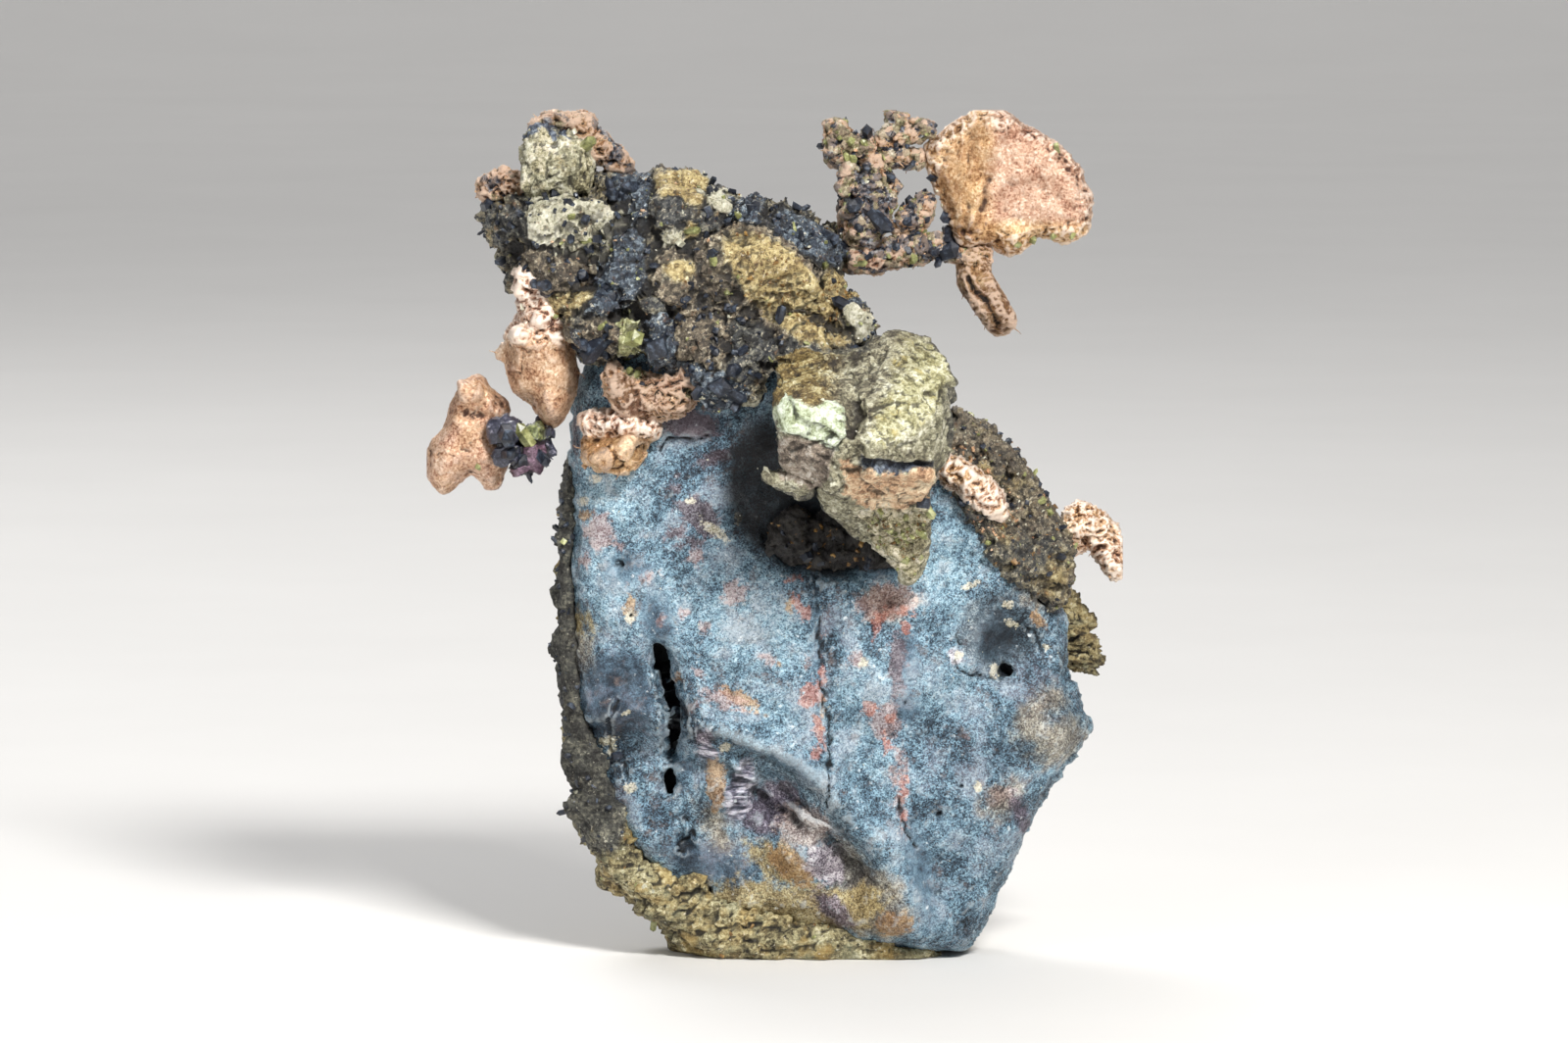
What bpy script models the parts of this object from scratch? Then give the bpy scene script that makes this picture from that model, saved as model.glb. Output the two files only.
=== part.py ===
"""Native copper nugget standing on its broken base: a tarnished copper slab in a rind of rock, with a
crust of dark breccia over its top, a boulder that juts out in front, and bright copper growths.

Lengths below are millimetres until at() turns them into metres. A place is (x, v, out): x to the
right, v up as seen from the front and slightly above, and out towards the viewer.
"""

import math
import random

import bmesh
import bpy
from mathutils import Matrix, Vector, noise
from mathutils.bvhtree import BVHTree
from mathutils.geometry import delaunay_2d_cdt

# Driving dimensions
MM = 0.001
LOOK_DOWN = math.radians(6)  # the outlines are the shape as seen from this far above level
GAPS = (0.35, 0.5, 0.65, 0.8, 1.0)  # between pieces that grow on each other: the first that keeps them apart
MIDDLE_OUT = 2.1  # depth of the middle of the whole specimen, which lies over the origin
SLAB_FRONT = 6.5  # highest depth of the slab's front face
SLAB_BACK = -4.0
SLAB_FALL_SIDE = 3.6  # how far the front face falls back towards the slab's left and right edges
SLAB_FALL_END = 2.0  # and towards its top and bottom
BACKING_RIM = 2.6  # depth of the rock rind where it shows round the slab
BACKING_DEPTH = 17.0  # how far the rock reaches behind the slab
LEDGE = 2.6  # height of a step in the layered rock
CRUST_FRONT = 7.0
CRUST_BACK = -9.0
BOULDER_FRONT = 25.5
LEAF_THICKNESS = 3.0

# Fineness: voxels that join shapes, and the spacing of points on an outlined slab
FINE = 0.3
MEDIUM = 0.5
SLAB_SPACING = 0.8

SLAB_OUTLINE = [
    (-17.3, 64.8), (-20.1, 57.8), (-20.5, 50.8), (-20.3, 45.8), (-20.8, 40.3), (-20.3, 33.8),
    (-20.1, 27.8), (-19.6, 21.8), (-18.1, 16.8), (-15.3, 11.8), (-11.3, 7.3), (-5.8, 4.3),
    (0.7, 3.3), (5.7, 1.6), (9.5, 0.9), (14.7, 0.8), (19.2, 1.0), (21.2, 4.3), (23.7, 9.8),
    (26.7, 15.8), (29.2, 19.3), (31.9, 23.3), (31.1, 26.6), (29.5, 28.8), (29.2, 33.8),
    (27.6, 37.8), (24.8, 41.8), (22.2, 45.8), (19.6, 50.2), (16.2, 54.4), (8.7, 60.8),
    (0.7, 65.8), (-9.3, 66.8),
]
BACKING_OUTLINE = [
    (-19.5, 57.0), (-21.5, 49.8), (-21.9, 41.8), (-21.8, 33.8), (-21.9, 27.8), (-21.3, 21.8),
    (-20.3, 17.8), (-20.7, 14.8), (-18.8, 11.3), (-17.8, 8.8), (-15.3, 6.8), (-13.3, 4.8),
    (-10.8, 2.3), (-7.8, 0.6), (-4.8, -0.6), (0.7, -0.8), (6.0, -0.8), (11.9, -1.0),
    (16.5, -0.2), (20.5, 4.0), (22.6, 9.8), (25.4, 15.8), (28.6, 22.0), (28.4, 28.0),
    (28.0, 33.8), (27.2, 39.8), (24.6, 46.0), (20.5, 51.5), (14.0, 56.5), (6.0, 60.0),
    (-4.0, 61.5), (-13.0, 61.0),
]
CRUST_OUTLINE = [
    (-29.0, 76.6), (-28.7, 74.3), (-27.2, 71.6), (-25.6, 68.8), (-23.0, 65.8), (-20.3, 62.8),
    (-17.8, 60.2), (-14.3, 60.6), (-10.3, 58.6), (-7.1, 57.0), (-4.3, 56.4), (-1.5, 58.2),
    (1.2, 60.6), (4.7, 60.6), (9.2, 60.0), (9.2, 63.8), (7.6, 66.6), (5.4, 69.0), (6.0, 71.6),
    (5.2, 73.8), (2.2, 74.9), (-0.3, 76.2), (-2.8, 76.4), (-5.3, 78.0), (-9.3, 79.0),
    (-12.8, 79.0), (-14.8, 78.2), (-17.3, 78.8), (-18.9, 77.4), (-22.3, 76.9), (-25.3, 77.2),
]
LARGE_LEAF_OUTLINE = [
    (16.5, 83.9), (18.0, 84.9), (19.9, 86.0), (21.7, 86.4), (23.8, 85.7), (24.6, 84.8),
    (26.1, 84.3), (27.1, 83.3), (28.2, 82.9), (29.6, 82.0), (30.5, 80.6), (31.2, 78.8),
    (32.1, 77.7), (31.9, 76.6), (31.5, 74.7), (31.1, 73.9), (29.3, 73.2), (27.3, 73.4),
    (26.3, 74.1), (25.3, 72.6), (23.7, 71.7), (22.5, 72.3), (21.6, 73.4), (20.0, 72.8),
    (18.3, 72.9), (17.6, 75.7), (16.3, 78.1), (15.3, 81.0), (15.1, 82.6),
]
LEFT_LEAF_OUTLINE = [
    (-33.3, 56.7), (-33.9, 54.1), (-35.4, 52.7), (-35.9, 51.1), (-35.6, 49.0), (-34.4, 47.2),
    (-33.2, 47.6), (-32.4, 48.8), (-31.3, 49.8), (-30.4, 49.2), (-29.8, 48.1), (-28.6, 47.9),
    (-28.0, 49.2), (-27.5, 50.4), (-28.2, 52.5), (-29.2, 53.8), (-28.7, 54.5), (-27.2, 55.2),
    (-27.5, 56.8), (-29.3, 58.2), (-29.9, 59.4), (-30.4, 59.7), (-31.9, 59.1),
]
NODULE_OUTLINE = [
    (-25.7, 66.5), (-27.1, 63.7), (-27.5, 60.4), (-26.8, 57.8), (-24.8, 56.6), (-23.8, 54.8),
    (-22.8, 54.0), (-21.7, 55.0), (-20.7, 57.1), (-20.3, 59.9), (-21.0, 62.4), (-20.3, 64.8),
    (-22.0, 66.5), (-23.0, 68.0),
]

# Relief of the slab's face: (x, v) paths and (x, v, radius, height) mounds and hollows
SWELL = [(-15.3, 25.3), (-9.3, 23.6), (-3.3, 22.3), (2.7, 19.8), (7.7, 15.3), (12.2, 9.3), (14.7, 2.8)]
FISSURE = [(-11.8, 31.3), (-10.9, 27.3), (-10.2, 24.8), (-10.7, 20.9)]
MOUNDS = [
    (3.7, 11.8, 5.4, 2.4), (9.7, 5.3, 4.8, 1.9), (-5.3, 17.8, 3.8, 1.6), (28.0, 23.6, 4.2, 1.6),
    (-13.5, 11.5, 4.5, 1.2), (-15.5, 38.0, 6.0, 0.8), (13.0, 30.0, 8.0, 0.8), (16.5, 14.0, 7.0, 0.9),
]
HOLLOWS = [
    (-0.6, 16.3, 3.0, 1.9), (-10.9, 17.9, 1.5, 3.4), (24.6, 31.6, 4.2, 1.3), (23.1, 29.1, 1.2, 3.0),
    (-9.5, 12.0, 1.4, 1.3), (-8.3, 7.4, 1.5, 1.5), (-16.1, 40.3, 1.1, 1.2), (18.7, 17.6, 1.0, 0.9),
    (16.4, 14.7, 1.0, 0.9),
]
POCKET = (6.5, 43.0, 8.8, 5.0)  # the hollow under the boulder: x, v, half width, half height
POCKET_DEPTH = 2.6

MADE = []  # the pieces built so far: a later one is cut clear of them


def at(x, v, out):
    """The point in metres whose front view is (x, v) and whose depth is out."""
    rise = v / math.cos(LOOK_DOWN) + out * math.tan(LOOK_DOWN)
    return Vector((x, MIDDLE_OUT - out, rise)) * MM


def distance_to(path, x, v, closed=False):
    """How far (x, v) is from a path."""
    place = Vector((x, v))
    ends = path[1:] + path[:1] if closed else path[1:]
    nearest = math.inf
    for start, end in zip(path, ends):
        origin = Vector(start)
        along = Vector(end) - origin
        share = min(1, max(0, (place - origin).dot(along) / along.length_squared))
        nearest = min(nearest, (place - origin - along * share).length)
    return nearest


def inside(outline, x, v):
    """Whether (x, v) lies within an outline."""
    crossings = 0
    for (x0, v0), (x1, v1) in zip(outline, outline[1:] + outline[:1]):
        if (v0 > v) != (v1 > v) and x < x0 + (v - v0) * (x1 - x0) / (v1 - v0):
            crossings += 1
    return crossings % 2 == 1


def rounding(depth, radius):
    """How far a rounded edge has dropped, as a share of its radius, this deep inside the outline."""
    if depth >= radius:
        return 0
    return 1 - math.sqrt(max(0, 1 - (1 - depth / radius) ** 2))


def dome(x, v, centre_x, centre_v, radius, height):
    """A smooth mound, or with a negative height a hollow."""
    share = math.hypot(x - centre_x, v - centre_v) / radius
    return height * max(0, 1 - share * share) ** 1.5


def lumps(x, v, size, height, seed=0):
    """Gentle unevenness with features of about this size."""
    return height * noise.noise(Vector((x / size, v / size, seed)))


def spread(outline, spacing):
    """Points of the outline, with no two further apart than the spacing."""
    points = []
    for start, end in zip(outline, outline[1:] + outline[:1]):
        count = max(1, round(math.dist(start, end) / spacing))
        for step in range(count):
            share = step / count
            points.append(Vector(start).lerp(Vector(end), share))
    return points


def filling(outline, spacing):
    """Staggered rows of (x, v) inside an outline, clear of its edge."""
    xs = [x for x, _ in outline]
    vs = [v for _, v in outline]
    rows = int((max(vs) - min(vs)) / (spacing * 0.87))
    columns = int((max(xs) - min(xs)) / spacing) + 1
    for row in range(rows + 1):
        v = min(vs) + row * spacing * 0.87
        for column in range(columns + 1):
            x = min(xs) + (column + row % 2 / 2) * spacing
            if inside(outline, x, v) and distance_to(outline, x, v, closed=True) > spacing * 0.6:
                yield x, v


def slab(outline, front, back, spacing):
    """A closed slab over an outline. front and back give its depth at (x, v)."""
    rim = spread(outline, spacing)
    flat = rim + [Vector(place) for place in filling(outline, spacing)]
    loop = [(i, (i + 1) % len(rim)) for i in range(len(rim))]
    places, _, faces, *_ = delaunay_2d_cdt(flat, loop, [], 1, 1e-6)
    mesh = bmesh.new()
    front_points = [mesh.verts.new(at(x, v, front(x, v))) for x, v in places]
    back_points = [mesh.verts.new(at(x, v, back(x, v))) for x, v in places]
    for face in faces:
        mesh.faces.new([front_points[i] for i in face])
        mesh.faces.new([back_points[i] for i in reversed(face)])
    for edge in [edge for edge in mesh.edges if edge.is_boundary]:
        edge.tag = True
    bmesh.ops.bridge_loops(mesh, edges=[edge for edge in mesh.edges if edge.tag])
    return mesh


def hull(places):
    """The convex solid round these (x, v, out) places."""
    mesh = bmesh.new()
    for place in places:
        mesh.verts.new(at(*place))
    bmesh.ops.convex_hull(mesh, input=mesh.verts)
    loose = [vert for vert in mesh.verts if not vert.link_faces]
    bmesh.ops.delete(mesh, geom=loose, context="VERTS")
    return mesh


def corners_of(centre, size, seed, count=16, turn=0, block=4):
    """Seeded corners of a stone: block 2 gives a pebble, 4 and more a block with blunt corners."""
    picks = random.Random(seed)
    spin = Matrix.Rotation(math.radians(turn), 2)
    places = []
    while len(places) < count:
        way = Vector([picks.uniform(-1, 1) for _ in range(3)])
        if not 0.2 < way.length < 1:
            continue
        way /= sum(abs(part) ** block for part in way) ** (1 / block)
        across = spin @ Vector((way.x * size[0] / 2, way.y * size[1] / 2))
        places.append((centre[0] + across.x, centre[1] + across.y, centre[2] + way.z * size[2] / 2))
    return places


def stone(centre, size, seed, **kind):
    return hull(corners_of(centre, size, seed, **kind))


def limb(path, seed, count=12):
    """Lumpy links from each (x, v, out, radius) of the path to the next."""
    links = []
    for step, (start, end) in enumerate(zip(path, path[1:])):
        places = []
        for end_number, (x, v, out, radius) in enumerate((start, end)):
            lump_seed = seed + step + end_number
            places += corners_of((x, v, out), (2.2 * radius,) * 3, lump_seed, count=count, block=3)
        links.append(hull(places))
    return links


def crystal(base, tip, radius, sides=6, point=0.3):
    """A prism from base to tip, both (x, v, out), with a short pyramid on its last part."""
    start, end = Vector(base), Vector(tip)
    along = (end - start).normalized()
    across = along.orthogonal().normalized()
    shoulder = start.lerp(end, 1 - point)
    places = [tuple(end)]
    for side in range(sides):
        spoke = Matrix.Rotation(math.tau * side / sides, 3, along) @ across * radius
        places += [tuple(start + spoke), tuple(shoulder + spoke)]
    return hull(places)


def evaluated(item):
    """Puts the item's modifiers into its mesh."""
    bpy.context.view_layer.update()
    graph = bpy.context.evaluated_depsgraph_get()
    shaped = bpy.data.meshes.new_from_object(item.evaluated_get(graph))
    item.modifiers.clear()
    item.data = shaped


def join_up(item, voxel):
    """Makes the item one skin with voxels of this size, and drops what is loose or sealed inside."""
    remesh = item.modifiers.new("skin", "REMESH")
    remesh.mode = "VOXEL"
    remesh.voxel_size = voxel * MM
    evaluated(item)
    keep_largest(item)


def keep_largest(item):
    mesh = bmesh.new()
    mesh.from_mesh(item.data)
    groups, left = [], set(mesh.verts)
    while left:
        reached = [left.pop()]
        for vert in reached:
            near = {edge.other_vert(vert) for edge in vert.link_edges} & left
            left -= near
            reached.extend(near)
        groups.append(reached)
    for group in sorted(groups, key=len)[:-1]:
        bmesh.ops.delete(mesh, geom=group, context="VERTS")
    mesh.to_mesh(item.data)
    mesh.free()


def box_of(item):
    corners = [Vector(corner) for corner in item.bound_box]
    low = Vector([min(corner[axis] for corner in corners) for axis in range(3)])
    high = Vector([max(corner[axis] for corner in corners) for axis in range(3)])
    return low, high


def near(first, second):
    (low, high), (other_low, other_high) = box_of(first), box_of(second)
    margin = max(GAPS) * MM
    return all(low[i] < other_high[i] + margin and other_low[i] < high[i] + margin for i in range(3))


def cut(item, cutter):
    difference = item.modifiers.new("cut", "BOOLEAN")
    difference.operation = "DIFFERENCE"
    difference.solver = "EXACT"
    difference.object = cutter
    evaluated(item)


def cut_clear_of(item, others, gap):
    """Takes out of the item what the other pieces fill, and the gap round them."""
    whole = bmesh.new()
    for other in others:
        whole.from_mesh(other.data)
    cutter = bpy.data.objects.new("cutter", bpy.data.meshes.new("cutter"))
    whole.to_mesh(cutter.data)
    whole.free()
    bpy.context.collection.objects.link(cutter)
    cutter.hide_render = True
    cutter.display_type = "WIRE"
    swell = cutter.modifiers.new("swell", "DISPLACE")
    swell.mid_level = 0
    swell.strength = gap * MM
    skin = cutter.modifiers.new("skin", "REMESH")
    skin.mode = "VOXEL"
    skin.voxel_size = MEDIUM * MM
    evaluated(cutter)
    cut(item, cutter)
    bpy.data.objects.remove(cutter)


def stand_flat(item):
    """Cuts the item off level at z = 0, and closes the cut."""
    mesh = bmesh.new()
    mesh.from_mesh(item.data)
    whole = mesh.verts[:] + mesh.edges[:] + mesh.faces[:]
    level = bmesh.ops.bisect_plane(
        mesh, geom=whole, plane_co=(0, 0, 0), plane_no=(0, 0, 1), clear_inner=True
    )
    rim = [part for part in level["geom_cut"] if isinstance(part, bmesh.types.BMEdge)]
    bmesh.ops.holes_fill(mesh, edges=rim)
    bmesh.ops.triangulate(mesh, faces=mesh.faces)
    mesh.to_mesh(item.data)
    mesh.free()


def finish(colour, roughness, metallic):
    """A material from a screen colour of 0 to 255."""
    made = bpy.data.materials.new("surface")
    made.use_nodes = True
    shader = made.node_tree.nodes["Principled BSDF"]
    shader.inputs["Base Color"].default_value = [(part / 255) ** 2.2 for part in colour] + [1]
    shader.inputs["Roughness"].default_value = roughness
    shader.inputs["Metallic"].default_value = metallic
    return made


def joined(shapes):
    """One mesh that holds every shape."""
    whole = bmesh.new()
    for shape in shapes:
        held = bpy.data.meshes.new("shape")
        shape.to_mesh(held)
        shape.free()
        whole.from_mesh(held)
        bpy.data.meshes.remove(held)
    bmesh.ops.recalc_face_normals(whole, faces=whole.faces)
    mesh = bpy.data.meshes.new("joined")
    whole.to_mesh(mesh)
    whole.free()
    return mesh


def thin_out(item, triangles):
    thin = item.modifiers.new("thin", "DECIMATE")
    thin.ratio = min(1, triangles / (2 * len(item.data.polygons)))
    thin.use_collapse_triangulate = True
    evaluated(item)
    keep_largest(item)


def crossing(item, others):
    """Whether the item's faces meet those of any of the others."""
    graph = bpy.context.evaluated_depsgraph_get()
    own = BVHTree.FromObject(item, graph)
    return any(own.overlap(BVHTree.FromObject(other, graph)) for other in others)


def piece(name, shapes, triangles, surface, voxel=FINE, flat=False):
    """One closed body from overlapping shapes, cut clear of the pieces made before it."""
    item = bpy.data.objects.new(name, joined(shapes))
    bpy.context.collection.objects.link(item)
    join_up(item, voxel)
    whole = item.data
    neighbours = [other for other in MADE if near(item, other)]
    for gap in GAPS:
        item.data = whole.copy()
        if neighbours:
            cut_clear_of(item, neighbours, gap)
            join_up(item, voxel)
        thin_out(item, triangles)
        if not crossing(item, neighbours):
            break
    if flat:
        stand_flat(item)
    item.data.name = name
    item.data.materials.append(finish(*surface))
    MADE.append(item)


TARNISH = ((110, 135, 155), 0.45, 0.7)
DARK_ROCK = ((62, 62, 60), 0.8, 0)
BROWN_ROCK = ((120, 100, 60), 0.85, 0)
PALE_STONE = ((170, 165, 115), 0.8, 0)
BRIGHT_COPPER = ((210, 150, 115), 0.4, 0.9)
DARK_COPPER = ((120, 85, 65), 0.5, 0.8)
CRYSTALS = ((85, 75, 90), 0.3, 0.2)


def slab_face(x, v):
    """Depth of the tarnished face, with its swell, mounds, fissure, pits and the pocket."""
    out = SLAB_FRONT - SLAB_FALL_SIDE * ((x - 3) / 27) ** 2 - SLAB_FALL_END * ((v - 34) / 36) ** 2
    swell = distance_to(SWELL, x, v)
    out += 1.9 * math.exp(-((swell / 2.2) ** 2))
    if x < 14 and v < 24 and (x + 16) * 0.72 + v < 27.5:
        out -= 2.0 * min(1, swell / 4)
    for mound in MOUNDS:
        out += dome(x, v, *mound)
    for centre_x, centre_v, radius, depth in HOLLOWS:
        out -= dome(x, v, centre_x, centre_v, radius, depth)
    out -= 4.2 * max(0, 1 - distance_to(FISSURE, x, v) / 1.3) ** 0.5
    pocket_x, pocket_v, half_width, half_height = POCKET
    out -= dome((x - pocket_x) / half_width, (v - pocket_v) / half_height, 0, 0, 1, POCKET_DEPTH)
    out += lumps(x, v, 5, 0.5) + lumps(x, v, 2.2, 0.3, seed=9)
    edge = distance_to(SLAB_OUTLINE, x, v, closed=True)
    return out - 2.6 * rounding(edge, 3.2)


def slab_rear(x, v):
    edge = distance_to(SLAB_OUTLINE, x, v, closed=True)
    return SLAB_BACK + lumps(x, v, 6, 0.6, seed=3) + 1.6 * rounding(edge, 3)


def copper_mass():
    body = slab(SLAB_OUTLINE, slab_face, slab_rear, SLAB_SPACING)
    piece("copper_mass", [body], 1450, TARNISH)


def backing_front(x, v):
    edge = distance_to(BACKING_OUTLINE, x, v, closed=True)
    lower = max(0, 1 - v / 18)
    return BACKING_RIM + 0.8 * lower - 1.8 * rounding(edge, 2.2) + lumps(x, v, 3, 1.0, seed=4)


def backing_rear(x, v):
    """The hidden side: a rounded mass broken into ledges."""
    edge = distance_to(BACKING_OUTLINE, x, v, closed=True)
    foot = 0.35 * max(0, 1 - v / 16)
    bulge = min(1, 0.28 + foot + edge / 15) * (0.82 + 0.3 * math.cos((v - 30) / 19))
    depth = BACKING_DEPTH * bulge + lumps(x, v, 11, 4.5, seed=5)
    step = depth / LEDGE
    level = math.floor(step)
    riser = min(1, max(0, (step - level - 0.62) / 0.38))
    return -LEDGE * (level + riser) + lumps(x, v, 3, 0.9, seed=6)


def rock_backing():
    """The rind of yellow-brown rock round and behind the slab, which the specimen stands on."""
    shapes = [slab(BACKING_OUTLINE, backing_front, backing_rear, 1.1)]
    picks = random.Random(21)
    for number, (x, v) in enumerate(spread(BACKING_OUTLINE[1:20], 2.6)):
        size = [picks.uniform(3.0, 5.0) for _ in range(3)]
        if v < 46:
            place = (x * 0.95, v + 0.6, picks.uniform(-8, 1.2))
            shapes.append(stone(place, size, 300 + number))
    for x, v, out, size in (
        (-22.2, 42.8, 1.0, 2.0), (-13.8, 7.2, 4.0, 2.2), (8.0, 30.0, -15.5, 9.0),
        (-9.0, 40.0, -13.5, 8.0), (-6.0, 14.0, -16.0, 9.0), (13.0, 12.0, -14.0, 8.0),
    ):
        shapes.append(stone((x, v, out), (size, size * 0.8, size * 0.8), round(40 + x)))
    piece("rock_backing", shapes, 1100, BROWN_ROCK, voxel=MEDIUM, flat=True)


def crust_front(x, v):
    edge = distance_to(CRUST_OUTLINE, x, v, closed=True)
    return CRUST_FRONT - 3.2 * rounding(edge, 4.5) + lumps(x, v, 5, 1.2, seed=7)


def crust_rear(x, v):
    edge = distance_to(CRUST_OUTLINE, x, v, closed=True)
    return CRUST_BACK + 3.5 * rounding(edge, 5) + lumps(x, v, 5, 1.8, seed=8)


def rock_crust():
    """Dark breccia over the slab's top: a core studded with stones, blocks and grape-like lumps."""
    shapes = [slab(CRUST_OUTLINE, crust_front, crust_rear, 1.1)]
    picks = random.Random(5)
    for number, (x, v) in enumerate(filling(CRUST_OUTLINE, 4.0)):
        for side in (crust_front(x, v), crust_rear(x, v)):
            size = [picks.uniform(3.2, 6.4) for _ in range(3)]
            place = (x + picks.uniform(-1, 1), v + picks.uniform(-1, 1), side - 0.1 * side)
            shapes.append(stone(place, size, 500 + number + round(side) % 7))
    for number, (x, v) in enumerate(spread(CRUST_OUTLINE, 2.8)):
        size = [picks.uniform(2.2, 3.6) for _ in range(3)]
        out = picks.uniform(-5, 5)
        shapes.append(stone((x, v, out), size, 700 + number))
    blocks = (
        (-21.4, 74.2, 2.0, 14.6, 6.2, 14.0, 2), (-10.3, 69.4, 5.6, 11.5, 9.5, 8.5, -12),
        (-0.6, 69.6, 4.6, 18.0, 9.0, 12.0, -27), (-4.3, 62.2, 6.6, 10.5, 7.5, 9.0, 10),
        (-9.5, 78.0, 2.0, 8.0, 4.2, 7.0, -10), (-5.5, 77.0, 3.0, 3.4, 3.0, 4.0, 20),
        (-1.8, 75.8, 1.0, 5.5, 3.4, 6.0, 0), (2.4, 73.4, 1.5, 7.5, 4.0, 7.0, -20),
        (7.4, 63.2, 5.0, 5.5, 7.5, 8.5, 0), (-15.0, 71.0, 5.0, 7.0, 6.5, 7.0, 30),
        (-12.5, 63.6, 8.6, 2.6, 6.2, 3.4, 4), (-18.4, 65.2, 6.5, 6.0, 5.0, 6.0, 30),
        (-15.0, 63.2, 8.4, 2.9, 3.6, 3.2, 20), (2.8, 62.6, 8.0, 6.0, 5.0, 6.0, 0),
        (-14.6, 78.0, 1.5, 4.2, 3.6, 4.5, 0), (-6.0, 66.0, -9.0, 12.0, 9.0, 8.0, 15),
        (-18.0, 71.0, -8.0, 11.0, 8.0, 7.0, -10), (1.0, 70.0, -8.0, 9.0, 7.0, 7.0, 0),
    )
    for number, (x, v, out, width, height, depth, turn) in enumerate(blocks):
        shapes.append(stone((x, v, out), (width, height, depth), 60 + number, count=18, turn=turn, block=5))
    for number in range(9):
        turn = number * 2.4
        x = -5.0 + 1.1 * math.sqrt(number) * math.cos(turn)
        v = 58.6 + 0.8 * math.sqrt(number) * math.sin(turn)
        shapes.append(stone((x, v, 8.4), (2.6, 2.6, 2.8), 90 + number, count=22, block=2))
    piece("rock_crust", shapes, 1800, DARK_ROCK, voxel=MEDIUM)


def crust_edge():
    """The knobbly rim down the slab's right shoulder."""
    path = ((19.6, 53.6, 1.5, 2.4), (21.6, 50.6, 2.5, 2.6), (23.8, 48.0, 2.4, 2.6), (25.4, 45.6, 2.2, 2.6),
            (26.4, 42.8, 2.2, 2.8), (27.0, 40.0, 2.0, 2.9), (27.2, 37.6, 1.6, 2.3))
    shapes = limb(path, 120)
    inner = ((18.2, 51.5, 3.4, 2.0), (20.6, 46.4, 4.4, 2.0), (23.0, 43.2, 4.2, 2.0), (25.0, 39.6, 3.8, 1.8))
    shapes += limb(inner, 140)
    picks = random.Random(31)
    for number in range(26):
        share = number / 25
        x = 18.6 + 9.8 * share + picks.uniform(-2.2, 0.8)
        v = 54.4 - 16.4 * share + picks.uniform(-1.6, 0.8)
        place = (x, v, picks.uniform(-3.5, 4.6))
        size = [picks.uniform(1.8, 3.4) for _ in range(3)]
        shapes.append(stone(place, size, 160 + number))
    piece("crust_edge", shapes, 420, DARK_ROCK)


def rock_wedge():
    """A flat brown chip behind the right edge."""
    places = [(29.9, 37.3), (31.4, 35.4), (32.6, 33.1), (33.3, 30.1), (33.0, 29.1), (30.5, 30.1), (25.5, 31.0), (25.5, 36.5)]
    body = hull([(x, v, out) for x, v in places for out in (-4.2 - 0.2 * v / 10, -9.5)] + [(31, 33.5, -3.2)])
    piece("rock_wedge", [body, stone((27, 33.5, -6.5), (5, 6, 5), 12)], 110, BROWN_ROCK)


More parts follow.
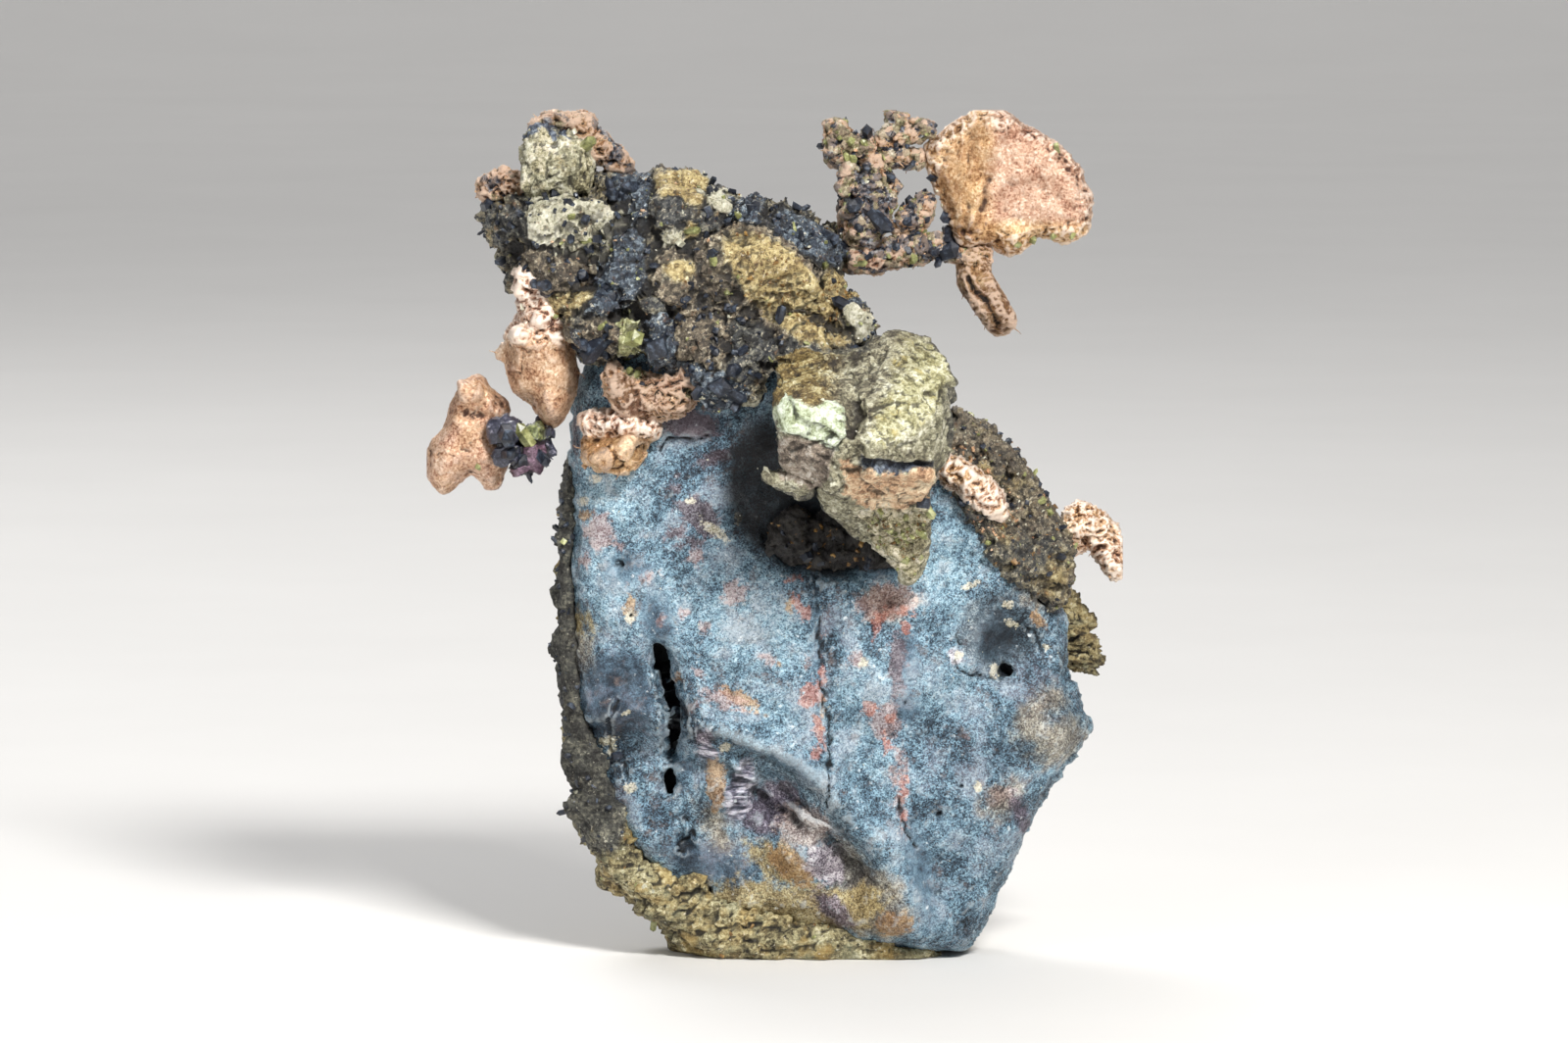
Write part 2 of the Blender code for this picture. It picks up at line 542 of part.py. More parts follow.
def boulder():
    """The pale block that juts out in front, split by a groove, with a granular tail below it."""
    front = BOULDER_FRONT
    left = hull([
        (0.3, 55.5, front - 1.6), (3.4, 56.2, front), (6.5, 55.2, front), (6.8, 53.8, front - 0.5),
        (6.1, 51.7, front - 1), (1.1, 53.3, front - 1), (4.9, 48.4, front - 4.6), (0.3, 50.5, front - 4.6),
        (-0.2, 57.5, front - 4), (0.4, 59.4, 17.5), (2.7, 61.6, 13.5), (4.7, 61.6, 12.5),
        (5.7, 60.6, 15), (0.6, 58, 6), (5, 60.5, 5), (1.5, 50.5, 7), (5.5, 48, 7),
    ])
    right = hull([
        (9.7, 63.1, 14), (12.2, 63.4, 13), (15.2, 62.4, 13), (11.1, 62.4, 17.5), (16.6, 60.8, 16),
        (17.3, 58.6, 18), (15.8, 54.3, front - 1.6), (9.7, 52.6, front + 0.4), (8.2, 56.5, front - 1.6),
        (8.7, 61.0, 17.5), (17.5, 54.8, 15.5), (16.9, 50.8, 13.5), (14.9, 50.0, 21), (9, 49.3, front - 1),
        (10, 62.4, 6), (16.5, 60, 5), (17, 52, 5), (9, 50, 6),
    ])
    web = hull([
        (5.2, 60.4, 12), (9.2, 61.4, 12.5), (5.5, 54.5, 20.5), (9.2, 54.5, 21), (7.2, 51.0, 23),
        (6, 49, 20), (9, 49, 20), (5, 60, 5), (9, 61, 5), (6, 50, 6), (9, 50, 6),
    ])
    shelf = hull([
        (6.4, 50.6, front - 1.6), (14.9, 49.9, 22.4), (15.5, 47.8, 19), (15.0, 46.0, 17.5), (7.2, 46.4, 19),
        (5.2, 46.0, 17), (4.2, 47.6, 18), (6, 49, 8), (15, 50, 8), (14.5, 45, 8), (8, 44, 8),
    ])
    tail = hull([
        (7.6, 43.8, 12), (15.6, 43.8, 13.5), (14.6, 39.2, 9.6), (13.2, 40.6, 10), (10.6, 42.4, 11),
        (13.8, 38.7, 9), (15.4, 47, 17.5), (6.5, 46.2, 16), (12.4, 43, 4), (8.4, 46, 4), (14.6, 47, 5),
    ])
    flake = hull([
        (-1.5, 48.6, 20.4), (-1.3, 49.6, 20.4), (3.0, 47.0, 19), (3.4, 48.4, 20.5),
        (-1.4, 48.8, 18.6), (-1.2, 49.6, 18.6), (3.2, 47.2, 16.5), (3.4, 49.4, 17),
    ])
    shapes = [left, right, web, shelf, tail, flake, crystal((6.6, 52.0, 24.6), (5.2, 47.2, 21.6), 0.8)]
    picks = random.Random(8)
    for number in range(34):
        share = (number + 0.5) / 34
        v = 39.4 + 8.6 * share
        x = 13.9 - 1.6 * share + picks.uniform(-3.2, 1.4) * (0.25 + share)
        out = 8.8 + 9.5 * share + picks.uniform(-0.8, 1.0)
        size = [picks.uniform(1.4, 2.6) for _ in range(3)]
        shapes.append(stone((x, v, out), size, 210 + number))
    for number in range(14):
        place = (0.6 + 5 * picks.random(), 57.0 + 4.4 * picks.random(), 0)
        lift = front - 4.2 - 2.0 * (place[1] - 57)
        size = [picks.uniform(1.4, 2.8) for _ in range(3)]
        shapes.append(stone((place[0], place[1], lift), size, 260 + number))
    piece("boulder", shapes, 700, PALE_STONE)


def pocket_crust():
    """Dark lump and brown crystals that line the hollow under the boulder."""
    shapes = [stone((1.3, 43.6, 6.0), (6.0, 5.4, 4.4), 3, count=20, block=3)]
    shapes += limb(((2.0, 41.8, 4.6, 1.6), (5.0, 40.4, 4.6, 1.7), (8.5, 40.0, 4.6, 1.6), (12.0, 40.6, 4.8, 1.3)), 320)
    shapes += limb(((1.4, 45.6, 4.6, 1.8), (6.0, 44.0, 4.4, 2.0), (10.5, 43.2, 4.6, 2.0)), 340)
    shapes += limb(((6.0, 44.0, 4.4, 2.0), (6.0, 40.6, 4.4, 1.7)), 350)
    picks = random.Random(13)
    for number in range(12):
        x = 1.6 + 0.85 * number
        lean = picks.uniform(-0.9, 0.9)
        top = (x + lean, 40.6 + picks.uniform(-0.6, 1.2), 6.8 + picks.uniform(0, 1.2))
        shapes.append(crystal((x, 40.9, 4.4), top, picks.uniform(0.5, 0.8)))
    piece("pocket_crust", shapes, 300, DARK_ROCK)


def stone_cap():
    """The squared pale stone on the crust's top left corner."""
    face = [(-24.7, 84.5), (-19.6, 82.8), (-18.8, 81.1), (-19.2, 78.0), (-23.4, 77.1), (-25.4, 77.7), (-25.8, 82.2)]
    body = hull([(x, v, 6.0) for x, v in face] + [(x * 0.99 - 0.2, v, -3.5) for x, v in face] + [(-22.3, 80.5, 7.2)])
    band = stone((-22.0, 83.0, 0.8), (6.0, 2.6, 7.0), 17, turn=-14)
    piece("stone_cap", [body, band], 170, PALE_STONE)


def copper_tuft():
    """Hackly copper on the cap, with two pale crystals and a flake."""
    shapes = []
    picks = random.Random(4)
    for number in range(15):
        x = -24.1 + 4.6 * (number % 5) / 4
        place = (x, 84.4 + picks.uniform(0, 0.9) - 0.12 * (x + 22) ** 2 * 0.5, 2.2 - 2.0 * (number // 5))
        size = [picks.uniform(1.5, 2.4) for _ in range(3)]
        shapes.append(stone(place, size, 400 + number))
    shapes.append(stone((-20.2, 84.0, 2.6), (2.6, 2.4, 3), 417))
    shapes += limb(((-20.4, 83.8, 1.5, 1.2), (-18.4, 82.6, 1.5, 1.2), (-16.9, 81.4, 1.4, 1.1), (-15.6, 80.6, 1.2, 0.8)), 420)
    shapes.append(crystal((-18.6, 81.6, 1.4), (-17.6, 84.0, 2.2), 1.3))
    piece("copper_tuft", shapes, 260, DARK_COPPER)


def copper_beads():
    shapes = limb(((-26.2, 78.6, 1.5, 1.0), (-27.2, 79.5, 1.5, 1.2), (-28.2, 78.9, 1.4, 0.9), (-29.2, 78.4, 1.2, 1.1)), 430)
    piece("copper_beads", shapes, 110, BRIGHT_COPPER)


def nodule_front(x, v):
    edge = distance_to(NODULE_OUTLINE, x, v, closed=True)
    return 6.5 - 3.4 * rounding(edge, 3.6) + lumps(x, v, 2.5, 0.7, seed=2)


def nodule_rear(x, v):
    edge = distance_to(NODULE_OUTLINE, x, v, closed=True)
    return 0.0 + 2.4 * rounding(edge, 3.0) + lumps(x, v, 2.5, 0.6, seed=1)


def copper_nodule():
    """The bright bulb at the left shoulder, with a neck that runs up into the crust."""
    shapes = [slab(NODULE_OUTLINE, nodule_front, nodule_rear, 0.7)]
    shapes += limb(((-23.6, 66.2, 4.0, 2.0), (-24.6, 68.2, 4.6, 1.7), (-25.2, 70.0, 5.0, 1.3)), 440)
    picks = random.Random(6)
    for number in range(12):
        size = [picks.uniform(1.3, 2.3) for _ in range(3)]
        place = (picks.uniform(-26.2, -21.6), picks.uniform(62.0, 66.6), picks.uniform(4.6, 6.2))
        shapes.append(stone(place, size, 450 + number))
    shapes.append(stone((-27.6, 61.9, 2.6), (2.2, 1.8, 2.2), 465))
    piece("copper_nodule", shapes, 280, BRIGHT_COPPER)


def left_leaf_front(x, v):
    edge = distance_to(LEFT_LEAF_OUTLINE, x, v, closed=True)
    return 3.6 - 2.0 * rounding(edge, 2.0) + lumps(x, v, 2.6, 0.5, seed=11)


def left_leaf_rear(x, v):
    edge = distance_to(LEFT_LEAF_OUTLINE, x, v, closed=True)
    return 0.2 + 1.2 * rounding(edge, 1.6) + lumps(x, v, 3, 0.5, seed=12)


def copper_leaf_left():
    body = slab(LEFT_LEAF_OUTLINE, left_leaf_front, left_leaf_rear, 0.7)
    knob = stone((-31.2, 58.2, 3.0), (3.0, 3.0, 2.6), 14)
    piece("copper_leaf_left", [body, knob], 260, BRIGHT_COPPER)


def crystal_cluster():
    """Dark, green and magenta crystals between the left leaf and the nodule."""
    shapes = [
        crystal((-27.2, 53.4, 1.6), (-28.0, 53.8, 5.2), 1.3, point=0.12),
        crystal((-27.0, 51.8, 1.6), (-27.8, 51.4, 4.8), 1.2, sides=4, point=0.1),
        stone((-25.4, 53.0, 2.6), (3.4, 3.2, 3.4), 22), stone((-24.1, 51.2, 2.6), (3.2, 3.2, 3.2), 23),
        stone((-25.8, 50.3, 2.6), (3.0, 2.4, 3.0), 24), stone((-26.6, 52.2, 2.2), (3.2, 3.4, 2.6), 25),
        stone((-23.8, 53.6, 2.4), (2.4, 3.6, 3.0), 26),
    ]
    piece("crystal_cluster", shapes, 200, CRYSTALS)


def copper_wing():
    """A curled dark fin and the hackly copper beside it, on the slab's upper left."""
    fin = limb(((-16.6, 59.6, 7.0, 0.8), (-16.2, 58.0, 7.8, 1.0), (-15.4, 56.8, 8.0, 0.9), (-14.4, 55.9, 7.6, 0.7)), 470)
    mass = limb(((-14.8, 58.0, 6.6, 1.6), (-13.0, 57.6, 7.2, 1.9), (-11.2, 57.0, 7.2, 1.7), (-9.4, 58.0, 7.2, 1.3), (-8.6, 58.9, 7.2, 0.9)), 480)
    point = limb(((-12.4, 57.0, 6.8, 1.6), (-12.0, 55.6, 6.6, 0.9)), 490)
    piece("copper_wing", fin + mass + point, 260, DARK_COPPER)


def copper_knob():
    """Hackly copper above a facetted golden knob, at the slab's left edge."""
    hackly = limb(((-18.8, 54.6, 5.0, 1.2), (-17.2, 54.4, 6.4, 1.5), (-15.4, 54.4, 6.8, 1.4), (-13.2, 54.0, 6.6, 1.2)), 500)
    golden = stone((-16.0, 51.8, 6.4), (7.4, 4.2, 5.4), 19, count=18, block=4)
    side = stone((-18.2, 52.0, 5.2), (3.4, 3.6, 4.0), 20)
    piece("copper_knob", hackly + [golden, side], 240, BRIGHT_COPPER)


def copper_seam():
    """The ragged bright seam between the slab and the right rim."""
    path = ((17.0, 50.0, 6.0, 0.9), (18.6, 49.6, 6.0, 1.4), (20.0, 48.4, 6.0, 1.5), (21.2, 46.8, 5.8, 1.4), (22.4, 45.0, 5.4, 1.0))
    piece("copper_seam", limb(path, 510), 140, BRIGHT_COPPER)


def arm_lower():
    """The level branch from the crust's right corner to the large leaf."""
    path = ((5.4, 72.0, 1.5, 1.5), (8.0, 71.4, 1.8, 1.3), (10.4, 71.2, 1.8, 1.2), (12.4, 72.2, 1.6, 1.4),
            (14.6, 72.3, 1.4, 1.3), (16.6, 72.5, 1.4, 1.2), (18.2, 72.0, 1.4, 1.0))
    piece("arm_lower", limb(path, 520), 250, DARK_COPPER)


def arm_column():
    """The upright of dark, green and copper grains."""
    shapes = limb(((8.4, 73.6, 1.6, 1.9), (8.8, 75.4, 1.6, 2.3), (9.4, 77.4, 1.6, 2.2), (9.6, 79.6, 1.6, 1.9)), 540)
    picks = random.Random(17)
    for number in range(16):
        size = [picks.uniform(1.5, 2.4) for _ in range(3)]
        place = (picks.uniform(6.9, 11.6), picks.uniform(73.4, 80.0), picks.choice((0.2, 3.0)))
        shapes.append(stone(place, size, 550 + number))
    piece("arm_column", shapes, 320, DARK_COPPER)


def arm_upper():
    """The top bar with its knobs, crystals and bead."""
    shapes = limb(((6.2, 83.0, 1.6, 1.6), (7.4, 82.2, 1.6, 1.4), (9.0, 81.6, 1.6, 1.1), (11.4, 81.5, 1.6, 0.9), (14.6, 81.4, 1.6, 0.8)), 570)
    shapes += limb(((6.0, 84.0, 1.4, 1.4), (6.2, 82.0, 1.4, 1.3)), 580)
    shapes += limb(((11.2, 81.6, 1.6, 0.9), (11.4, 83.6, 1.8, 1.1), (13.4, 84.2, 1.8, 0.9), (15.0, 84.2, 1.8, 1.0)), 590)
    shapes += limb(((13.2, 84.4, 1.8, 0.9), (11.9, 85.6, 1.8, 0.9)), 600)
    shapes.append(crystal((7.4, 82.2, 2.0), (7.3, 83.6, 3.6), 0.9))
    shapes.append(crystal((8.8, 82.0, 2.0), (9.0, 83.2, 3.4), 0.8))
    shapes.append(stone((9.2, 83.7, 1.4), (1.8, 2.0, 2.0), 28, block=2, count=24))
    piece("arm_upper", shapes, 380, DARK_COPPER)


def arm_link():
    """The reddish lump between the lower branch and the leaf's left edge."""
    shapes = limb(((13.2, 74.4, 1.6, 1.4), (14.4, 75.8, 1.8, 1.3), (15.0, 77.0, 1.8, 0.9)), 610)
    piece("arm_link", shapes, 100, DARK_COPPER)


def large_leaf_front(x, v):
    edge = distance_to(LARGE_LEAF_OUTLINE, x, v, closed=True)
    fold = abs(x - 20.4 - 0.12 * (v - 72))
    middle = LEAF_THICKNESS / 2 + 1.6 + 0.5 * math.exp(-((fold / 1.6) ** 2))
    return middle - 0.04 * (x - 21) - 1.3 * rounding(edge, 1.8) + lumps(x, v, 2.6, 0.4, seed=14)


def large_leaf_rear(x, v):
    edge = distance_to(LARGE_LEAF_OUTLINE, x, v, closed=True)
    return 1.6 - LEAF_THICKNESS / 2 - 0.04 * (x - 21) + 1.0 * rounding(edge, 1.6) + lumps(x, v, 3, 0.5, seed=15)


def copper_leaf_large():
    body = slab(LARGE_LEAF_OUTLINE, large_leaf_front, large_leaf_rear, 0.9)
    piece("copper_leaf_large", [body], 460, BRIGHT_COPPER)


def twig_hanging():
    """The stubby twig that hangs from the large leaf."""
    path = ((20.8, 72.4, 1.4, 0.9), (20.0, 70.6, 1.6, 1.3), (20.1, 68.8, 1.6, 1.7), (21.2, 67.0, 1.6, 1.7), (22.5, 65.2, 1.6, 1.7))
    piece("twig_hanging", limb(path, 620), 220, DARK_COPPER)


def twig_right():
    """The crooked twig that stands out from the right edge."""
    shapes = limb(((28.6, 42.2, -0.5, 1.5), (30.4, 43.0, -1.0, 1.7), (31.6, 44.4, -1.2, 1.6), (33.2, 43.4, -1.2, 1.4),
                   (34.4, 41.2, -1.2, 1.3), (35.1, 39.3, -1.2, 0.9)), 630)
    shapes += limb(((31.0, 44.6, -1.2, 1.4), (30.8, 45.6, -1.2, 0.9)), 640)
    piece("twig_right", shapes, 260, BRIGHT_COPPER)


for leftover in list(bpy.data.objects):
    bpy.data.objects.remove(leftover)

for build in (
    copper_mass, rock_backing, rock_crust, crust_edge, rock_wedge, boulder, pocket_crust, stone_cap,
    copper_tuft, copper_beads, copper_nodule, copper_leaf_left, crystal_cluster, copper_wing,
    copper_knob, copper_seam, arm_lower, arm_column, arm_upper, arm_link, copper_leaf_large,
    twig_hanging, twig_right,
):
    build()
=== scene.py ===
"""The looks of the native copper specimen: a fine skin over each solid, loose crystals and wires, and the stage.

Places on the specimen are (x, v) in millimetres as seen from the front: x to the right, v up the picture.
out is how far a point stands out towards the viewer, also in millimetres.
"""

import math

import bmesh
import bpy
import numpy as np
from mathutils import Matrix, Vector

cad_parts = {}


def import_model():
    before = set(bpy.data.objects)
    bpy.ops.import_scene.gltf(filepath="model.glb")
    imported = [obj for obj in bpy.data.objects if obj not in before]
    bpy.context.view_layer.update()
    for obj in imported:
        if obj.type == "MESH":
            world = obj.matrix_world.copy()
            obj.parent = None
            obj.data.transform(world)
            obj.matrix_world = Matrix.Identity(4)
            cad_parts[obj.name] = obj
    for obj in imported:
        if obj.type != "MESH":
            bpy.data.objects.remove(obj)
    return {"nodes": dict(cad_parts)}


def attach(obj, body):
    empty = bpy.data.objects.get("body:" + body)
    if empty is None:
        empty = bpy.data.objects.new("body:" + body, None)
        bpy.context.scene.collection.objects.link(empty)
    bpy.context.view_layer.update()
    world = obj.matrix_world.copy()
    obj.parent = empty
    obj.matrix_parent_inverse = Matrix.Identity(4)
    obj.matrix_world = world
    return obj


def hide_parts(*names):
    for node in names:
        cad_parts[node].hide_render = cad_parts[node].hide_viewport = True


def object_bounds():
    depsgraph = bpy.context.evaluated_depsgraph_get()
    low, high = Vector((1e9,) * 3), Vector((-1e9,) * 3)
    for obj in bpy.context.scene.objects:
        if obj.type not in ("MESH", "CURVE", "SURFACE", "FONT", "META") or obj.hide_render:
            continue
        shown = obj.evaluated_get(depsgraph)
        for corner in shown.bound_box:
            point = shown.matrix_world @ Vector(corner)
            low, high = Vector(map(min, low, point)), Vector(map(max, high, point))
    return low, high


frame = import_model()
CAD_BOX = [list(corner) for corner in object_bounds()]

MM = 0.001
LOOK_DOWN = math.radians(6)  # the photograph looks down on the specimen by this much
MIDDLE_OUT = 2.1  # the depth that lies over the origin
LOW = np.array(CAD_BOX[0]) / MM
HIGH = np.array(CAD_BOX[1]) / MM
EDGE = 0.03  # every skin keeps this far inside the box of the solids

# Marks on the tarnished slab: x, v, half width, half height, turn in degrees.
MAROON = (
    (-8.0, 45.4, 2.1, 1.5, -30), (-7.0, 44.2, 1.2, 1.2, 0), (-9.6, 46.1, 0.9, 0.5, 0),
    (-10.3, 47.8, 0.5, 0.5, 0), (-10.4, 49.2, 0.3, 0.3, 0), (-6.4, 51.2, 1.8, 0.8, 20),
    (-8.8, 54.5, 3.2, 1.5, -10), (-10.6, 43.4, 1.0, 0.6, 30), (-8.7, 42.4, 1.4, 0.6, 0),
    (12.2, 30.6, 0.8, 3.2, 0), (-20.4, 53.8, 0.6, 2.2, 0),
)
RUST = (
    (-4.3, 37.4, 1.25, 1.15, 20), (-8.2, 41.0, 0.9, 0.7, 0), (-1.0, 30.5, 0.75, 0.6, 30),
    (3.1, 30.1, 0.45, 0.45, 0), (-8.1, 29.2, 0.6, 0.4, -30), (-7.3, 33.7, 0.45, 0.5, 0),
    (-9.6, 35.1, 0.35, 0.35, 0), (-11.8, 34.7, 0.3, 0.4, 0), (11.2, 36.4, 3.0, 1.9, 10),
    (-18.1, 43.4, 1.7, 1.5, -35), (-16.4, 42.2, 0.8, 0.4, -30), (-19.6, 40.6, 0.75, 0.55, 20),
    (-17.9, 44.8, 1.1, 0.6, 0), (8.1, 30.6, 0.9, 0.9, 0), (12.4, 16.6, 0.5, 2.5, 5),
    (-13.2, 38.9, 0.8, 0.22, 20), (19.0, 22.9, 0.3, 0.3, 0), (11.0, 24.2, 1.6, 2.0, 10),
    (-5.2, 26.4, 2.4, 0.9, -20), (-8.2, 25.6, 0.8, 0.4, 30), (12.6, 20.0, 0.6, 1.2, 0),
)
RED = (
    (2.1, 36.2, 0.45, 1.1, 30), (2.9, 35.2, 0.55, 0.8, 0), (1.6, 38.8, 0.8, 0.35, 0),
    (10.3, 34.4, 0.5, 1.4, -20), (12.6, 35.6, 1.0, 0.5, -20), (13.1, 33.9, 0.4, 0.6, 0),
    (9.4, 25.6, 0.8, 0.8, 20), (11.6, 24.6, 0.6, 0.5, -20), (3.5, 27.0, 1.1, 1.4, -20),
    (11.1, 22.2, 0.35, 1.1, 10), (4.3, 23.2, 0.5, 1.9, 10), (12.9, 17.4, 0.5, 1.4, 5),
    (4.6, 29.2, 0.22, 1.6, 0), (3.9, 21.0, 0.5, 0.9, -20), (13.0, 14.4, 0.3, 1.0, 10),
)
ORANGE = (
    (-3.4, 26.4, 2.0, 0.75, -30), (-4.9, 27.2, 0.9, 0.6, -10), (-10.1, 28.8, 0.5, 0.3, -30),
    (-15.0, 35.6, 0.6, 1.2, 0), (-6.3, 17.9, 1.0, 2.7, 8), (4.6, 25.8, 0.18, 1.2, 0),
    (-19.4, 45.2, 0.6, 0.6, 0), (26.6, 34.6, 0.9, 0.45, -50), (1.3, 36.4, 0.25, 0.6, 0),
    (1.5, 9.4, 3.0, 1.5, -35), (0.4, 30.2, 0.25, 0.2, 0), (12.1, 3.8, 1.8, 1.3, 0),
)
CREAM = (
    (-5.4, 21.4, 0.7, 0.45, 30), (-15.2, 17.3, 0.6, 0.55, 0), (-17.4, 22.0, 0.9, 0.35, 0),
    (-17.0, 21.0, 0.4, 0.7, 0), (-6.4, 43.7, 1.8, 0.45, -38), (-8.8, 46.7, 0.45, 0.4, 0),
    (23.6, 36.1, 0.55, 0.5, 0), (19.7, 38.1, 0.75, 0.3, 20), (24.1, 34.0, 0.7, 0.3, -30),
    (18.5, 31.0, 0.45, 0.5, 0), (8.8, 30.2, 0.5, 0.6, 0), (22.4, 29.4, 0.5, 0.7, 0),
    (-19.6, 46.6, 0.45, 0.4, 0), (20.4, 17.6, 0.4, 0.6, 0), (25.9, 38.8, 0.35, 0.3, 0),
    (-15.6, 24.9, 0.4, 0.35, 0), (27.6, 31.8, 0.4, 0.3, 0), (-4.0, 45.0, 0.3, 0.5, 0),
    (-18.4, 49.0, 0.5, 0.4, 0), (-15.0, 34.9, 0.5, 0.7, 0),
)
# The coloured grounds in and around the bowl at the slab's foot, and at its right corner.
LAVENDER = ((-3.8, 16.9, 1.5, 3.2, -12), (-7.2, 20.8, 1.2, 0.8, 0))
PLUM = (
    (-1.0, 15.0, 3.0, 2.0, 42), (5.9, 4.9, 2.6, 1.1, -40), (-1.2, 13.4, 1.6, 0.9, 0),
    (26.2, 12.0, 0.9, 6.5, 25),
)
# Dark slate grounds; the first, just under the bowl's lip, is painted shadow.
SLATE_AND_LIP_SHADOW = (
    (1.9, 17.7, 3.2, 1.0, -28), (6.3, 14.0, 1.2, 1.7, 0), (23.0, 33.6, 4.4, 4.0, 0),
    (26.0, 39.6, 2.6, 2.4, 0),
)
PINK_GLITTER = ((2.6, 13.4, 2.8, 2.2, -30), (22.6, 16.6, 1.2, 0.8, 30))
WHITE_GLITTER = ((4.8, 9.4, 2.4, 1.7, -42), (-7.6, 22.4, 0.9, 1.3, 0), (18.2, 31.0, 0.7, 0.9, 0))
BROWN_GROUND = (
    (9.4, 5.8, 4.4, 3.4, -35), (28.6, 22.2, 3.2, 2.2, 35), (26.2, 24.2, 2.8, 1.7, 50), (28.0, 26.4, 1.6, 1.4, 0), (23.0, 16.2, 2.4, 1.8, 30), (-6.4, 13.6, 1.2, 2.6, 30),
    (26.8, 37.6, 1.6, 2.2, 40), (-20.0, 31.5, 1.2, 2.4, 0), (11.4, 36.2, 2.6, 2.0, 0), (7.0, 9.4, 1.8, 2.4, 0),
)
YELLOW_GROUND = (
    (-5.0, 4.6, 8.0, 2.6, 0), (3.6, 5.0, 6.0, 2.4, 0), (0.4, 9.4, 3.4, 1.6, -35),
    (-2.0, 6.4, 5.0, 1.4, -10), (8.6, 5.4, 2.8, 2.2, 0), (-19.8, 34.4, 0.9, 1.2, 0),
    (-8.4, 5.2, 1.6, 0.8, -20),
)
# Soft changes of tone, partly the slab's own colour and partly painted light and shade where faces turn towards or away
# from the light: x, v, half width, half height, turn in degrees, strength.
TONES_AND_PAINTED_LIGHT = (
    (-17.5, 47.0, 3.4, 4.6, 0, 1.2), (-3.0, 34.0, 8.6, 4.0, -12, 1.1), (17.4, 39.0, 3.2, 5.0, 0, 1.2),
    (8.7, 27.0, 3.4, 3.6, 0, 0.8), (10.0, 21.0, 3.0, 3.4, 0, 0.8), (17.5, 28.5, 4.4, 3.4, 10, 0.6),
    (-17.0, 37.6, 3.0, 4.0, 0, 0.8), (-1.0, 25.0, 5.0, 2.2, -20, 0.7), (13.4, 42.4, 3.0, 3.2, 0, 0.8),
    (-16.4, 25.0, 3.8, 6.0, 0, -1.5), (23.5, 33.0, 5.0, 4.6, 0, -1.0), (5.2, 33.4, 1.5, 6.6, 0, -1.4),
    (-4.0, 51.4, 6.5, 4.6, 0, -0.8), (-6.4, 22.6, 3.5, 1.2, -15, -0.9), (-16.5, 17.5, 1.8, 2.4, 0, -0.8),
    (16.2, 21.5, 4.2, 2.6, -30, -0.7), (24.0, 9.0, 3.0, 9.0, 25, -0.4), (14.0, 8.0, 1.8, 6.0, 15, 0.4),
    (26.6, 27.5, 2.0, 3.0, 0, -1.2), (-12.4, 15.6, 1.6, 2.4, 0, -0.9), (-9.0, 26.0, 1.2, 4.6, 0, -1.0),
    (20.6, 22.0, 2.4, 5.0, -30, -0.3), (-7.4, 9.8, 5.4, 2.4, -12, -1.1),
    (-13.6, 17.6, 1.6, 1.0, 0, 0.5), (8.0, 38.0, 1.4, 1.4, 0, 0.4),
)
# Places with hardly any grain, a bluer even skin.
SMOOTH = (
    (-12.2, 34.6, 2.0, 3.2, 10), (-7.0, 9.8, 5.0, 2.0, -12), (14.6, 8.6, 1.7, 6.0, 12),
    (-15.6, 39.6, 2.6, 2.0, 0), (-9.4, 19.6, 1.0, 1.2, 0), (-8.3, 54.6, 2.6, 2.2, 0),
    (-16.2, 27.0, 3.8, 4.6, 0), (13.2, 30.6, 1.4, 3.4, 0), (2.4, 19.4, 3.0, 1.2, -25),
    (3.9, 32.6, 0.5, 6.0, 0), (13.2, 26.0, 1.6, 1.8, 0), (22.2, 33.0, 2.4, 3.0, 0), (11.0, 39.4, 2.0, 0.8, 0),
)

# The rounded lip of the bowl at the slab's foot, from left to right.
LIP = (
    (-10.3, 26.3), (-7.3, 24.0), (-4.3, 21.9), (-1.0, 21.1), (2.0, 19.6), (4.7, 17.2), (7.1, 13.5),
    (10.2, 10.5), (13.3, 7.4), (15.5, 4.0),
)
# Low swellings and hollows of the slab: x, v, half width, half height, turn in degrees, height.
SWELLINGS = (
    (3.4, 12.0, 2.4, 3.4, -35, 1.0), (9.6, 5.8, 4.2, 3.2, -35, 1.1), (28.2, 23.6, 3.2, 3.0, 0, 0.15),
    (-6.2, 17.8, 1.2, 2.8, 8, 0.5), (-14.6, 25.0, 2.6, 7.0, 0, -0.9), (24.0, 32.6, 3.6, 3.4, 0, -0.6),
    (14.6, 9.6, 1.6, 5.6, 12, -0.5), (-8.8, 10.6, 3.0, 2.6, 0, -0.3), (18.6, 36.5, 1.2, 1.0, 0, 0.4),
    (-12.8, 35.0, 1.5, 4.0, 10, -0.4), (-4.8, 49.5, 6.0, 2.6, 0, -0.5), (6.6, 44.0, 7.6, 3.6, 0, -0.8),
    (12.1, 3.8, 1.6, 1.2, 0, 0.4), (5.2, 33.4, 1.3, 6.0, 0, -0.3), (-0.6, 15.6, 2.4, 2.2, -35, 1.1),
    (2.2, 17.2, 3.4, 1.3, -35, 1.1), (3.4, 14.3, 4.0, 0.9, -36, -0.8),
)

